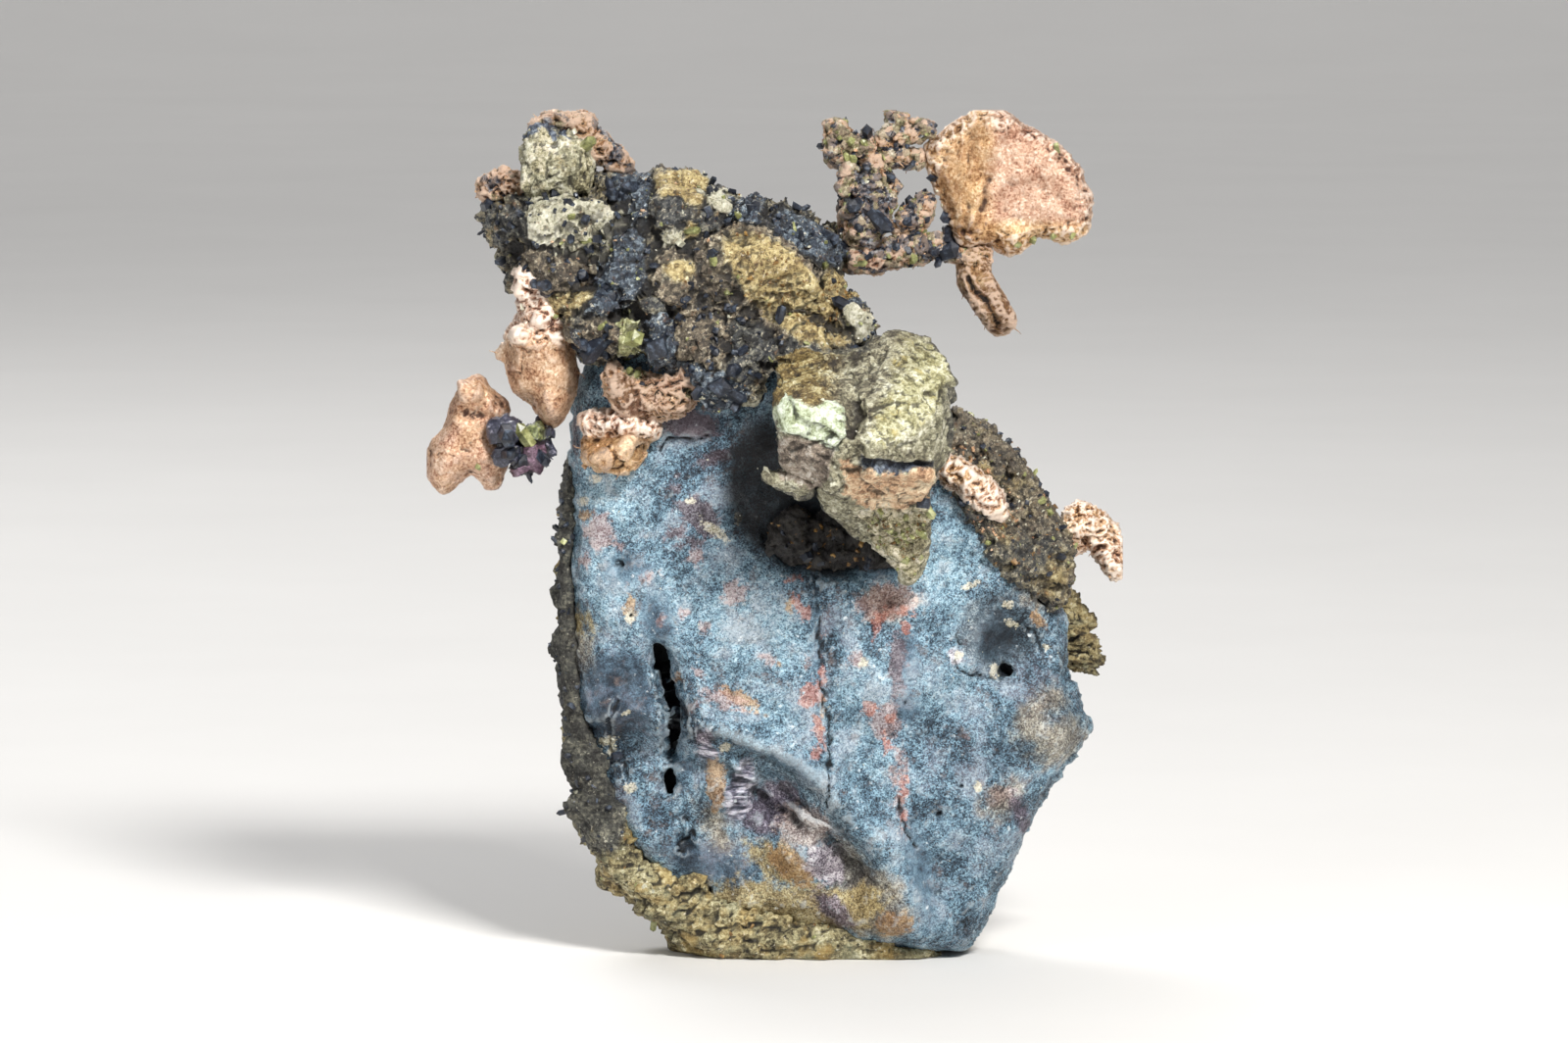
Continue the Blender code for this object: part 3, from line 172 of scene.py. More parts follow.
FISSURE = ((-12.1, 31.6), (-11.5, 29.8), (-10.9, 27.8), (-10.4, 25.8), (-10.3, 23.8), (-10.8, 21.2))
CRACKS = (
    ((3.8, 39.3), (4.2, 33.8), (4.5, 29.6), (4.9, 26.0), (5.4, 24.2), (5.2, 19.9), (5.0, 15.5)),
    ((-12.0, 51.7), (-11.4, 52.8), (-10.1, 53.0), (-8.6, 52.9), (-7.0, 53.1)),
    ((-9.4, 14.4), (-8.8, 13.4), (-9.2, 12.2), (-10.2, 11.6), (-9.4, 10.8)),
    ((-16.0, 21.0), (-15.7, 19.6), (-15.4, 18.2)),
    ((12.4, 16.4), (12.9, 13.6), (14.2, 11.6)),
    ((18.5, 33.0), (18.9, 31.8)),
    ((18.2, 30.4), (19.2, 29.2), (20.6, 28.7), (22.2, 28.8)),
    ((25.0, 33.7), (26.4, 33.2), (27.0, 31.6)),
    ((-10.0, 5.6), (-8.8, 5.7), (-7.4, 5.4), (-6.8, 4.4), (-7.0, 6.8)),
    ((-16.6, 26.6), (-17.4, 23.6), (-17.0, 20.4)),
)
# Pits in the slab: x, v, half width, half height, depth.
PITS = (
    (-10.9, 18.0, 0.65, 1.5, 1.5), (23.4, 29.3, 0.6, 0.55, 1.4), (-16.1, 40.2, 0.4, 0.4, 0.5),
    (-9.8, 10.8, 0.55, 0.5, 0.6), (-14.9, 35.0, 0.3, 0.3, 0.6), (27.3, 37.4, 0.8, 1.5, 1.2),
    (18.7, 17.6, 0.3, 0.3, 0.4), (16.4, 14.7, 0.35, 0.35, 0.4), (13.1, 26.2, 0.3, 0.3, 0.4),
    (-7.2, 6.2, 0.4, 0.7, 0.6), (-9.3, 7.3, 0.3, 0.3, 0.4), (-13.6, 38.4, 0.16, 0.5, 0.4),
    (-8.6, 12.6, 0.45, 0.9, 0.6), (-11.8, 30.6, 0.8, 0.8, 0.9), (-12.2, 28.4, 0.5, 0.9, 0.7),
)

# The boulder's faces, as seen from the front.
BOULDER_CREAM = ((-0.6, 55.6), (0.9, 57.0), (2.0, 56.4), (6.5, 55.9), (7.0, 53.3), (5.9, 51.7), (0.8, 53.4))
BOULDER_OCHRE = (
    (-0.6, 56.2), (-1.0, 61.0), (3.2, 63.0), (6.2, 62.4), (7.0, 58.6), (5.2, 55.9), (1.9, 56.4),
)
BOULDER_PURPLE = ((0.8, 53.4), (5.9, 51.7), (5.5, 50.5), (4.7, 48.0), (0.2, 48.7), (-0.4, 51.0))
BOULDER_RIGHT = (
    (12.0, 63.3), (14.2, 62.6), (16.6, 61.4), (17.3, 59.1), (15.6, 55.5), (12.4, 52.2), (8.6, 52.4),
    (9.4, 55.4), (11.0, 58.4),
)
BOULDER_BLUE = ((8.2, 50.9), (15.4, 50.6), (15.3, 49.9), (8.4, 49.6))
BOULDER_COPPER = (
    (6.5, 50.9), (8.3, 49.6), (15.2, 49.8), (15.8, 47.2), (13.4, 45.6), (10.1, 45.6), (6.7, 47.2),
)
BOULDER_TAIL = (
    (7.3, 46.2), (9.8, 45.8), (13.2, 45.6), (16.0, 46.4), (15.0, 42.0), (14.0, 38.4), (12.4, 40.0),
    (10.0, 42.0),
)
BOULDER_EDGES = (
    ((0.8, 53.4), (5.9, 51.7)), ((5.9, 51.7), (7.0, 53.3), (6.5, 55.9)), ((8.2, 50.7), (15.4, 50.4)),
    ((15.8, 54.5), (16.4, 58.0)), ((5.5, 50.5), (6.6, 48.0)),
)
# The sloping face that closes the gap between the boulder's two halves: x, v, out of its corners.
GROOVE_FACE = (
    (5.4, 61.2, 14.0), (10.4, 61.8, 18.0), (5.8, 56.5, 22.0), (10.2, 57.5, 23.0), (6.2, 52.4, 24.4),
    (10.0, 52.6, 25.6), (6.2, 49.8, 23.4), (9.6, 49.8, 24.2),
    (5.4, 61.2, 8.0), (10.4, 61.8, 8.0), (6.2, 49.8, 8.0), (9.6, 49.8, 8.0),
)
GROOVE = ((9.6, 62.6), (8.9, 59.4), (8.0, 56.2), (7.3, 53.0))

# Minerals on the thin arms: x, v, half width, half height, turn.
ARM_BLUE = (
    (9.4, 76.3, 2.4, 2.8, 0), (15.7, 72.2, 1.0, 0.6, 0), (9.1, 84.1, 0.7, 0.7, 0), (13.4, 75.6, 1.0, 1.4, 0),
    (14.4, 79.3, 0.6, 1.0, 0), (11.6, 72.9, 1.0, 0.5, 0), (17.6, 73.2, 0.6, 1.4, 0),
)
ARM_GREEN = (
    (8.0, 82.6, 1.4, 0.9, 0), (8.2, 80.0, 0.8, 0.8, 0), (9.9, 73.4, 1.6, 0.6, 0), (13.9, 71.4, 0.8, 0.5, 0),
    (10.4, 77.2, 1.8, 1.2, 0), (9.0, 74.6, 1.4, 0.6, 0),
)

# The large leaf's face inside its jagged rim, and its folds.
LEAF_FACE = (
    (17.0, 83.4), (20.0, 85.6), (24.0, 85.0), (28.0, 83.0), (31.0, 79.0), (31.2, 75.0), (26.0, 73.6),
    (21.0, 72.8), (18.2, 73.6), (16.4, 77.6), (15.6, 82.0),
)
LEAF_FOLDS = (
    ((21.4, 79.2), (20.9, 76.6), (19.8, 73.8)), ((19.4, 76.4), (18.8, 73.8)), ((28.6, 81.6), (30.4, 79.4)),
)
TWIG_GROOVE = ((19.4, 69.4), (20.0, 68.0), (21.2, 67.0), (22.3, 65.0))

# The crust's larger blocks: x, v, half width, half height, turn in degrees, kind.
CRUST_BLOCKS = (
    (-20.8, 74.4, 5.0, 2.7, -8, "pale"), (-22.6, 70.0, 3.8, 1.9, -12, "brown"), (-16.0, 69.0, 2.5, 2.1, 10, "blue"),
    (-17.8, 62.9, 1.9, 1.9, -20, "brown"), (-19.7, 61.1, 1.0, 2.1, 0, "blue"), (-14.9, 62.7, 1.35, 2.2, 0, "green"),
    (-12.0, 62.4, 1.6, 2.8, 8, "blue"), (-7.6, 63.4, 3.1, 2.8, -25, "brown"), (-9.1, 69.2, 3.4, 2.9, -10, "brown"),
    (-2.4, 68.6, 7.6, 5.2, -32, "brown"), (-9.5, 78.3, 2.3, 1.5, 0, "ochre"), (-5.5, 77.4, 1.5, 1.4, -30, "pale"),
    (-3.6, 75.8, 1.7, 1.5, 0, "blue"), (-14.8, 78.6, 1.6, 1.4, 0, "blue"), (-13.9, 76.0, 1.1, 1.3, 0, "blue"),
    (-11.1, 75.7, 1.9, 1.5, 0, "dark"), (-10.5, 73.1, 1.3, 1.0, 10, "pale"), (-8.5, 73.9, 1.0, 1.0, 0, "ochre"),
    (-6.2, 74.4, 2.4, 1.4, -10, "dark"), (-15.4, 72.4, 1.9, 1.9, 0, "blue"), (3.4, 73.2, 3.6, 1.7, -30, "blue"),
    (5.6, 67.4, 2.4, 2.4, -40, "ochre"), (7.4, 66.0, 1.2, 3.2, 40, "pale"), (-2.2, 63.6, 2.9, 3.0, 10, "dark"),
    (-8.8, 59.7, 1.4, 1.2, 0, "blue"), (-5.6, 57.7, 2.0, 1.8, 0, "blue"), (-8.4, 57.2, 1.1, 0.9, 0, "pale"),
    (-3.4, 60.2, 1.6, 1.4, 0, "dark"), (2.6, 63.0, 2.4, 2.4, 0, "dark"), (-17.6, 66.4, 1.6, 0.9, 10, "blue"),
    (-12.6, 66.6, 1.2, 0.9, 0, "dark"), (-20.6, 67.2, 1.8, 0.9, 10, "ochre"), (-26.8, 74.6, 1.6, 2.0, 0, "dark"),
)
# Ochre stains on the crust: x, v, half width, half height, turn in degrees.
CRUST_STAINS = ((0.6, 68.2, 8.0, 3.4, -42), (-1.8, 70.6, 3.6, 2.4, -20), (-9.8, 69.9, 1.8, 1.4, 0))
# The violet, green and blue-black crystals beside the small leaf, in the same form.
CLUSTER_BLOCKS = (
    (-27.8, 53.7, 1.6, 1.2, 0, "blue"), (-25.2, 53.3, 1.2, 1.0, 20, "green"), (-24.8, 51.2, 1.1, 1.5, -10, "plum"),
    (-26.2, 51.2, 0.9, 1.4, 10, "blue"), (-27.7, 51.6, 0.8, 0.9, 0, "blue"), (-25.6, 50.2, 1.2, 0.6, 20, "plum"),
)


# Repeatable noise
TURN = np.array(Matrix.Rotation(0.7, 3, "X") @ Matrix.Rotation(1.1, 3, "Y") @ Matrix.Rotation(0.4, 3, "Z"))


def lattice(cell, seed):
    """A repeatable value from 0 to 1 for each whole-number point."""
    mixed = cell[:, 0] * 73856093 ^ cell[:, 1] * 19349663 ^ cell[:, 2] * 83492791 ^ (seed * 668265263 + 374761393)
    mixed = (mixed ^ (mixed >> 13)) & 0x7FFFFFFF
    mixed = mixed * 1274126177 & 0x7FFFFFFF
    mixed = (mixed ^ (mixed >> 15)) * 695872825 & 0x7FFFFFFF
    return ((mixed ^ (mixed >> 12)) & 0xFFFF) / 65535.0


def noise(points, seed):
    """Smooth noise from -1 to 1 with features of about one unit."""
    cell = np.floor(points).astype(np.int64)
    part = points - cell
    part = part * part * part * (part * (part * 6 - 15) + 10)
    total = np.zeros(len(points))
    for corner in np.ndindex(2, 2, 2):
        weight = np.prod(np.where(corner, part, 1 - part), axis=1)
        total += weight * lattice(cell + corner, seed)
    return 2 * total - 1


def layered(points, size, seed, octaves=4, gain=0.5, ridged=False):
    """Noise with finer and finer layers, about -1 to 1; size is its broadest feature in millimetres."""
    place = points / size
    total = np.zeros(len(points))
    weight = 1.0
    for octave in range(octaves):
        layer = noise(place, seed + octave)
        total += weight * (1 - 2 * np.abs(layer) if ridged else layer)
        place = place @ TURN * 2.03 + 7.1
        weight *= gain
    return total * (1 - gain) / (1 - gain**octaves)


def cells(points, size, seed):
    """Distances to the nearest and second nearest scattered centre, and which cell the nearest is in."""
    place = points / size
    base = np.floor(place).astype(np.int64)
    nearest = np.full(len(points), 9.0)
    second = np.full(len(points), 9.0)
    home = base.copy()
    for corner in np.ndindex(3, 3, 3):
        cell = base + corner - 1
        away = np.linalg.norm(place - cell - jitter(cell, seed), axis=1)
        closer = away < nearest
        second = np.where(closer, nearest, np.minimum(second, away))
        home = np.where(closer[:, None], cell, home)
        nearest = np.where(closer, away, nearest)
    return nearest, second, home


def jitter(cell, seed):
    """Where each cell's centre lies in it, from 0 to 1 along each axis."""
    return np.stack([lattice(cell, seed + axis) for axis in range(3)], axis=1)


def facets(points, size, seed, tilt=1.1):
    """Heights of flat chips, each tilted its own way, with sharp steps between them: about -1 to 1."""
    _, _, home = cells(points, size, seed)
    lean = jitter(home, seed + 5) - 0.5
    offset = points / size - home - jitter(home, seed)
    return lattice(home, seed + 3) - 0.5 + tilt * np.einsum("ij,ij->i", offset, lean)


def bent(points, size, amount, seed):
    """The points moved about by smooth noise, so that patterns made from them aren't regular."""
    return points + amount * np.stack([noise(points / size, seed + axis) for axis in range(3)], axis=1)


# Places on the front view
def ellipse_field(x, v, table):
    """About how far inside the nearest of these ellipses each point is, in millimetres, and negative outside."""
    field = np.full(len(x), -3.0)
    for centre_x, centre_v, half_width, half_height, turn in table:
        angle = math.radians(turn)
        along = (x - centre_x) * math.cos(angle) + (v - centre_v) * math.sin(angle)
        across = (v - centre_v) * math.cos(angle) - (x - centre_x) * math.sin(angle)
        reach = np.hypot(along / half_width, across / half_height)
        field = np.maximum(field, (1 - reach) * min(half_width, half_height))
    return field


def soft_field(x, v, table):
    """The sum of soft round changes, each with its own strength."""
    field = np.zeros(len(x))
    for centre_x, centre_v, half_width, half_height, turn, strength in table:
        angle = math.radians(turn)
        along = (x - centre_x) * math.cos(angle) + (v - centre_v) * math.sin(angle)
        across = (v - centre_v) * math.cos(angle) - (x - centre_x) * math.sin(angle)
        field += strength * np.exp(-((along / half_width) ** 2) - (across / half_height) ** 2)
    return field


def path_distance(x, v, path):
    """Distance of each point from a line of straight stretches, in millimetres."""
    best = np.full(len(x), 99.0)
    for (x0, v0), (x1, v1) in zip(path, path[1:]):
        run_x = x1 - x0
        run_v = v1 - v0
        share = np.clip(((x - x0) * run_x + (v - v0) * run_v) / (run_x**2 + run_v**2), 0, 1)
        best = np.minimum(best, np.hypot(x - x0 - share * run_x, v - v0 - share * run_v))
    return best


def side_of(x, v, path):
    """Distance from a line, positive on the left of its direction and negative on its right."""
    best = np.full(len(x), 99.0)
    for (x0, v0), (x1, v1) in zip(path, path[1:]):
        run_x = x1 - x0
        run_v = v1 - v0
        share = np.clip(((x - x0) * run_x + (v - v0) * run_v) / (run_x**2 + run_v**2), 0, 1)
        away = np.hypot(x - x0 - share * run_x, v - v0 - share * run_v)
        left = np.sign(run_x * (v - v0) - run_v * (x - x0))
        best = np.where(away < np.abs(best), away * left, best)
    return best


def outline_field(x, v, outline):
    """How far inside a closed outline each point is, in millimetres, and negative outside."""
    closed = outline + outline[:1]
    within = np.zeros(len(x), bool)
    for (x0, v0), (x1, v1) in zip(closed, closed[1:]):
        if v0 == v1:
            continue
        crosses = (v0 > v) != (v1 > v)
        within ^= crosses & (x < x0 + (v - v0) * (x1 - x0) / (v1 - v0))
    away = path_distance(x, v, closed)
    return np.where(within, away, -away)


def world(x, v, out):
    """The world place, in millimetres, of a point given as it is seen from the front."""
    return np.array([x, MIDDLE_OUT - out, v / math.cos(LOOK_DOWN) + out * math.tan(LOOK_DOWN)])


class Skin:
    """The fine surface of one solid, held as arrays in millimetres while it is shaped."""

    def __init__(self, node, voxel, grow=0.3, added=()):
        self.node = node
        self.voxel = voxel
        self.mesh = self.even_mesh(voxel, added)
        count = len(self.mesh.vertices)
        flat = np.empty(count * 3, np.float32)
        self.mesh.vertices.foreach_get("co", flat)
        self.points = flat.reshape(-1, 3).astype(float) / MM
        ends = np.empty(len(self.mesh.edges) * 2, np.int32)
        self.mesh.edges.foreach_get("vertices", ends)
        self.ends = ends.reshape(-1, 2)
        self.degree = np.maximum(np.bincount(ends, minlength=count), 1)[:, None]
        self.fields = {}
        self.points = self.relaxed(round(0.2 / voxel**2))
        self.push(grow)

    def even_mesh(self, voxel, added):
        """The solid, with any added lumps, rebuilt from small even faces."""
        joined = bmesh.new()
        joined.from_mesh(frame["nodes"][self.node].data)
        for corners in added:
            lump = [joined.verts.new(world(*corner) * MM) for corner in corners]
            bmesh.ops.convex_hull(joined, input=lump)
        rough = bpy.data.meshes.new(self.node + "_rough")
        joined.to_mesh(rough)
        joined.free()
        solid = bpy.data.objects.new(self.node + "_fine", rough)
        bpy.context.scene.collection.objects.link(solid)
        remesh = solid.modifiers.new("even", "REMESH")
        remesh.mode = "VOXEL"
        remesh.voxel_size = voxel * MM
        graph = bpy.context.evaluated_depsgraph_get()
        mesh = bpy.data.meshes.new_from_object(solid.evaluated_get(graph))
        bpy.data.objects.remove(solid)
        return mesh

    def relaxed(self, passes):
        """The points after each has moved half way to its neighbours' middle, this many times."""
        points = self.points
        first, last = self.ends.T
        for _ in range(passes):
            total = np.empty_like(points)
            for axis in range(3):
                total[:, axis] = np.bincount(first, points[last, axis], len(points))
                total[:, axis] += np.bincount(last, points[first, axis], len(points))
            points = 0.5 * points + 0.5 * total / self.degree
        return points

    def store(self):
        self.mesh.vertices.foreach_set("co", (self.points * MM).astype(np.float32).ravel())
        self.mesh.update()

    def normals(self):
        self.store()
        flat = np.empty(len(self.points) * 3, np.float32)
        self.mesh.vertex_normals.foreach_get("vector", flat)
        return flat.reshape(-1, 3).astype(float)

    def push(self, amount):
        """Moves the surface out along its normals, by one distance or one for each point."""
        self.points = self.points + self.normals() * (np.ones(len(self.points)) * amount)[:, None]

    def front(self):
        """x and v of each point as seen from the front, and how squarely it faces the viewer."""
        x, y, z = self.points.T
        out = MIDDLE_OUT - y
        v = (z - out * math.tan(LOOK_DOWN)) * math.cos(LOOK_DOWN)
        facing = np.clip(-self.normals()[:, 1] * 1.6, 0, 1)
        return x, v, facing

    def hollows(self, passes):
        """How deep each point lies below its smoothed surroundings, in millimetres."""
        away = self.relaxed(passes) - self.points
        return np.einsum("ij,ij->i", away, self.normals())

    def finish(self, material, slot):
        """Turns the arrays into the piece that stands for the node."""
        self.points = np.clip(self.points, LOW + EDGE, HIGH - EDGE)
        self.points[:, 2] = np.maximum(self.points[:, 2], 0.0)
        self.fields["hollow"] = np.clip(self.hollows(round(0.45 / self.voxel**2)) / 0.10, -1, 1)
        self.fields["shade"] = np.clip(self.hollows(round(3.6 / self.voxel**2)) / 0.5, -1, 1)
        for row in PATCHES[slot] + (("gap",), ("smooth",), ("lavender",)):
            self.fields.setdefault(row[0], np.full(len(self.points), -3.0))
        self.store()
        for name, values in self.fields.items():
            layer = self.mesh.attributes.new(name, "FLOAT", "POINT")
            layer.data.foreach_set("value", values.astype(np.float32))
        self.mesh.polygons.foreach_set("use_smooth", np.ones(len(self.mesh.polygons), bool))
        self.mesh.materials.clear()
        self.mesh.materials.append(material)
        piece = bpy.data.objects.new(self.node + "_skin", self.mesh)
        bpy.context.scene.collection.objects.link(piece)
        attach(piece, "root")
        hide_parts(self.node)
        return piece


# Materials
def colour(red, green, blue):
    """A screen colour from 0 to 255 as the linear value that shaders take."""
    steps = [part / 255 for part in (red, green, blue)]
    return tuple(step / 12.92 if step < 0.04 else ((step + 0.055) / 1.055) ** 2.4 for step in steps) + (1,)


class Paint:
    """One material's nodes. Sizes are in millimetres of the specimen, and a ramp's stops are (position, red,
    green, blue)."""

    def __init__(self, name, roughness=0.5, metallic=0.0, specular=0.5):
        self.material = bpy.data.materials.new(name)
        self.material.use_nodes = True
        self.tree = self.material.node_tree
        self.shader = self.tree.nodes["Principled BSDF"]
        self.shader.inputs["Roughness"].default_value = roughness
        self.shader.inputs["Metallic"].default_value = metallic
        self.shader.inputs["Specular IOR Level"].default_value = specular
        self.base = self.add("ShaderNodeTexCoord").outputs["Object"]
        self.rough = {}

    def add(self, kind, **settings):
        node = self.tree.nodes.new(kind)
        for name, value in settings.items():
            setattr(node, name, value)
        return node

    def feed(self, socket, value):
        if isinstance(value, bpy.types.NodeSocket):
            self.tree.links.new(value, socket)
        else:
            socket.default_value = value

    def place(self, size, stretch=(1, 1, 1), warp=0.0):
        """Texture coordinates where one unit is this many millimetres."""
        scaled = self.add("ShaderNodeVectorMath", operation="MULTIPLY")
        self.feed(scaled.inputs[0], self.base)
        scaled.inputs[1].default_value = [1 / (MM * size * part) for part in stretch]
        if not warp:
            return scaled.outputs[0]
        bend = self.add("ShaderNodeTexNoise")
        self.feed(bend.inputs["Vector"], scaled.outputs[0])
        bend.inputs["Scale"].default_value = 1.7
        shift = self.add("ShaderNodeVectorMath", operation="SCALE")
        self.feed(shift.inputs[0], bend.outputs["Color"])
        shift.inputs["Scale"].default_value = warp
        moved = self.add("ShaderNodeVectorMath", operation="ADD")
        self.feed(moved.inputs[0], scaled.outputs[0])
        self.feed(moved.inputs[1], shift.outputs[0])
        return moved.outputs[0]

    def noise(self, size, detail=4, rough=0.6, stretch=(1, 1, 1), warp=0.0):
        node = self.add("ShaderNodeTexNoise")
        self.feed(node.inputs["Vector"], self.place(size, stretch, warp))
        node.inputs["Scale"].default_value = 1
        node.inputs["Detail"].default_value = detail
        node.inputs["Roughness"].default_value = rough
        return node.outputs["Fac"]

    def cells(self, size, stretch=(1, 1, 1), warp=0.0):
        """A value that differs from each small grain to the next."""
        node = self.add("ShaderNodeTexVoronoi")
        self.feed(node.inputs["Vector"], self.place(size, stretch, warp))
        node.inputs["Scale"].default_value = 1
        return node.outputs["Color"]

    def field(self, name):
        return self.add("ShaderNodeAttribute", attribute_name=name).outputs["Fac"]

    def math(self, operation, first, second=0.0, third=0.0):
        node = self.add("ShaderNodeMath", operation=operation)
        for socket, value in zip(node.inputs, (first, second, third)):
            self.feed(socket, value)
        return node.outputs[0]

    def total(self, *layers):
        """One half, plus each (value, share) layer's departure from one half."""
        result = 0.5
        for value, share in layers:
            result = self.math("MULTIPLY_ADD", self.math("SUBTRACT", value, 0.5), share, result)
        return result

    def mask(self, value, low, high):
        """0 below low, 1 above high, and smooth between them."""
        node = self.add("ShaderNodeMapRange", interpolation_type="SMOOTHSTEP")
        self.feed(node.inputs["Value"], value)
        node.inputs["From Min"].default_value = low
        node.inputs["From Max"].default_value = high
        return node.outputs["Result"]

    def spread(self, value, low, high, to_low=0.0, to_high=1.0):
        """The value stretched from low..high to another range, and held inside it."""
        node = self.add("ShaderNodeMapRange")
        self.feed(node.inputs["Value"], value)
        node.inputs["From Min"].default_value = low
        node.inputs["From Max"].default_value = high
        node.inputs["To Min"].default_value = to_low
        node.inputs["To Max"].default_value = to_high
        return node.outputs["Result"]

    def ramp(self, value, *stops):
        node = self.add("ShaderNodeValToRGB")
        self.feed(node.inputs[0], value)
        elements = node.color_ramp.elements
        while len(elements) < len(stops):
            elements.new(0.5)
        for element, (position, *shade) in zip(elements, stops):
            element.position = position
            element.color = colour(*shade)
        return node.outputs["Color"]

    def mix(self, share, first, second):
        node = self.add("ShaderNodeMix", data_type="RGBA")
        self.feed(node.inputs[0], share)
        self.feed(node.inputs[6], first)
        self.feed(node.inputs[7], second)
        return node.outputs[2]

    def tint(self, shade, cover, strength, *tone):
        """Lays one colour over another as far as the cover says."""
        return self.mix(self.math("MULTIPLY", cover, strength), shade, colour(*tone))

    def patch(self, shade, value, name, ragged, grain, soft, strength, *stops):
        """Lays a ramp of colours over another where a field is positive, with a ragged edge."""
        if grain not in self.rough:
            self.rough[grain] = self.math("SUBTRACT", self.noise(grain, detail=4, rough=0.7), 0.5)
        rough = self.rough[grain]
        edge = self.math("MULTIPLY_ADD", rough, 2 * ragged, self.field(name))
        cover = self.math("MULTIPLY", self.mask(edge, -soft, soft), strength)
        return self.mix(cover, shade, self.ramp(value, *stops))

    def patches(self, shade, value, table):
        for row in table:
            shade = self.patch(shade, value, *row)
        return shade

    def wear_and_highlight(self, shade, strength, *tone):
        """Lighter points and edges: wear, and painted highlight on the crests."""
        cover = self.mask(self.math("MULTIPLY", self.field("hollow"), -1.0), 0.2, 1.0)
        return self.tint(shade, cover, strength, *tone)

    def darken_hollows(self, shade, small=0.7, broad=0.5, tone=(14, 11, 10)):
        """Dirt and shade in the small and the broad hollows."""
        shade = self.tint(shade, self.mask(self.field("hollow"), 0.05, 0.9), small, *tone)
        return self.tint(shade, self.mask(self.field("shade"), 0.05, 0.9), broad, *tone)

    def bump(self, *layers):
        """Raises the surface by each (height value, size of the full step in millimetres)."""
        normal = None
        for height, step in layers:
            node = self.add("ShaderNodeBump")
            node.inputs["Distance"].default_value = step * MM
            self.feed(node.inputs["Height"], height)
            if normal is not None:
                self.feed(node.inputs["Normal"], normal)
            normal = node.outputs["Normal"]
        self.feed(self.shader.inputs["Normal"], normal)

    def done(self, shade, roughness=None, metallic=None):
        self.feed(self.shader.inputs["Base Color"], shade)
        if roughness is not None:
            self.feed(self.shader.inputs["Roughness"], roughness)
        if metallic is not None:
            self.feed(self.shader.inputs["Metallic"], metallic)
        return self.material


# Patches of colour: field, raggedness, its grain, softness, strength, then the ramp from dark to light.
SLAB_PATCHES = (
    ("slate_and_lip_shadow", 1.6, 1.8, 0.8, 0.75, (0.25, 20, 24, 30), (0.45, 56, 70, 80), (0.62, 98, 116, 126), (0.85, 190, 200, 200)),
    ("brown_ground", 2.0, 1.8, 0.9, 0.75, (0.20, 44, 38, 34), (0.42, 112, 98, 82), (0.58, 162, 146, 118), (0.8, 226, 218, 196)),
    ("yellow_ground", 2.6, 1.8, 0.6, 0.85, (0.20, 78, 62, 34), (0.45, 156, 134, 86), (0.62, 202, 182, 124), (0.8, 236, 226, 180)),
    ("orange", 1.2, 0.9, 0.2, 0.8, (0.25, 104, 72, 44), (0.5, 166, 126, 80), (0.75, 210, 178, 134)),
    ("plum", 1.2, 0.9, 0.4, 0.9, (0.25, 34, 28, 38), (0.48, 82, 70, 84), (0.64, 134, 120, 136), (0.85, 214, 206, 218)),
    ("pink_glitter", 1.8, 0.9, 0.6, 0.8, (0.20, 78, 60, 58), (0.42, 140, 120, 112), (0.58, 188, 170, 158), (0.8, 250, 240, 230)),
    ("white_glitter", 1.2, 0.9, 0.3, 0.9, (0.22, 62, 54, 64), (0.42, 152, 140, 152), (0.56, 216, 208, 214), (0.8, 255, 255, 255)),
    ("rust", 1.6, 0.9, 0.3, 0.62, (0.25, 98, 68, 62), (0.5, 166, 126, 116), (0.75, 220, 194, 186)),
    ("maroon", 1.6, 0.9, 0.25, 0.8, (0.25, 46, 32, 38), (0.5, 100, 80, 86), (0.75, 166, 152, 156)),
    ("red", 1.2, 0.9, 0.15, 0.72, (0.25, 116, 62, 50), (0.5, 182, 116, 98), (0.75, 224, 180, 164)),
    ("cream", 0.8, 0.5, 0.10, 0.92, (0.25, 150, 142, 114), (0.6, 236, 230, 212)),
)
ROCK_PATCHES = (
    ("dark", 0.9, 1.8, 0.3, 0.85, (0.25, 16, 16, 19), (0.45, 50, 53, 58), (0.60, 94, 96, 94), (0.80, 160, 156, 138)),
    ("ochre", 2.6, 1.8, 0.9, 0.92, (0.18, 64, 50, 32), (0.36, 134, 112, 68), (0.50, 184, 162, 108), (0.68, 220, 202, 148), (0.86, 244, 236, 196)),
    ("pale", 1.2, 0.9, 0.4, 0.9, (0.14, 70, 66, 50), (0.30, 146, 140, 114), (0.45, 192, 188, 160), (0.62, 222, 218, 198), (0.86, 242, 240, 224)),
    ("brown", 1.6, 0.9, 0.5, 0.9, (0.20, 28, 24, 20), (0.38, 80, 70, 58), (0.52, 118, 106, 88), (0.67, 166, 152, 128), (0.84, 222, 212, 188)),
    ("blue", 1.0, 0.9, 0.25, 0.92, (0.22, 10, 13, 18), (0.42, 38, 48, 62), (0.56, 72, 86, 102), (0.70, 130, 146, 158), (0.86, 210, 218, 222)),
    ("green", 0.6, 0.5, 0.12, 0.95, (0.22, 66, 64, 40), (0.42, 128, 126, 80), (0.56, 174, 174, 120), (0.78, 226, 228, 190)),
)
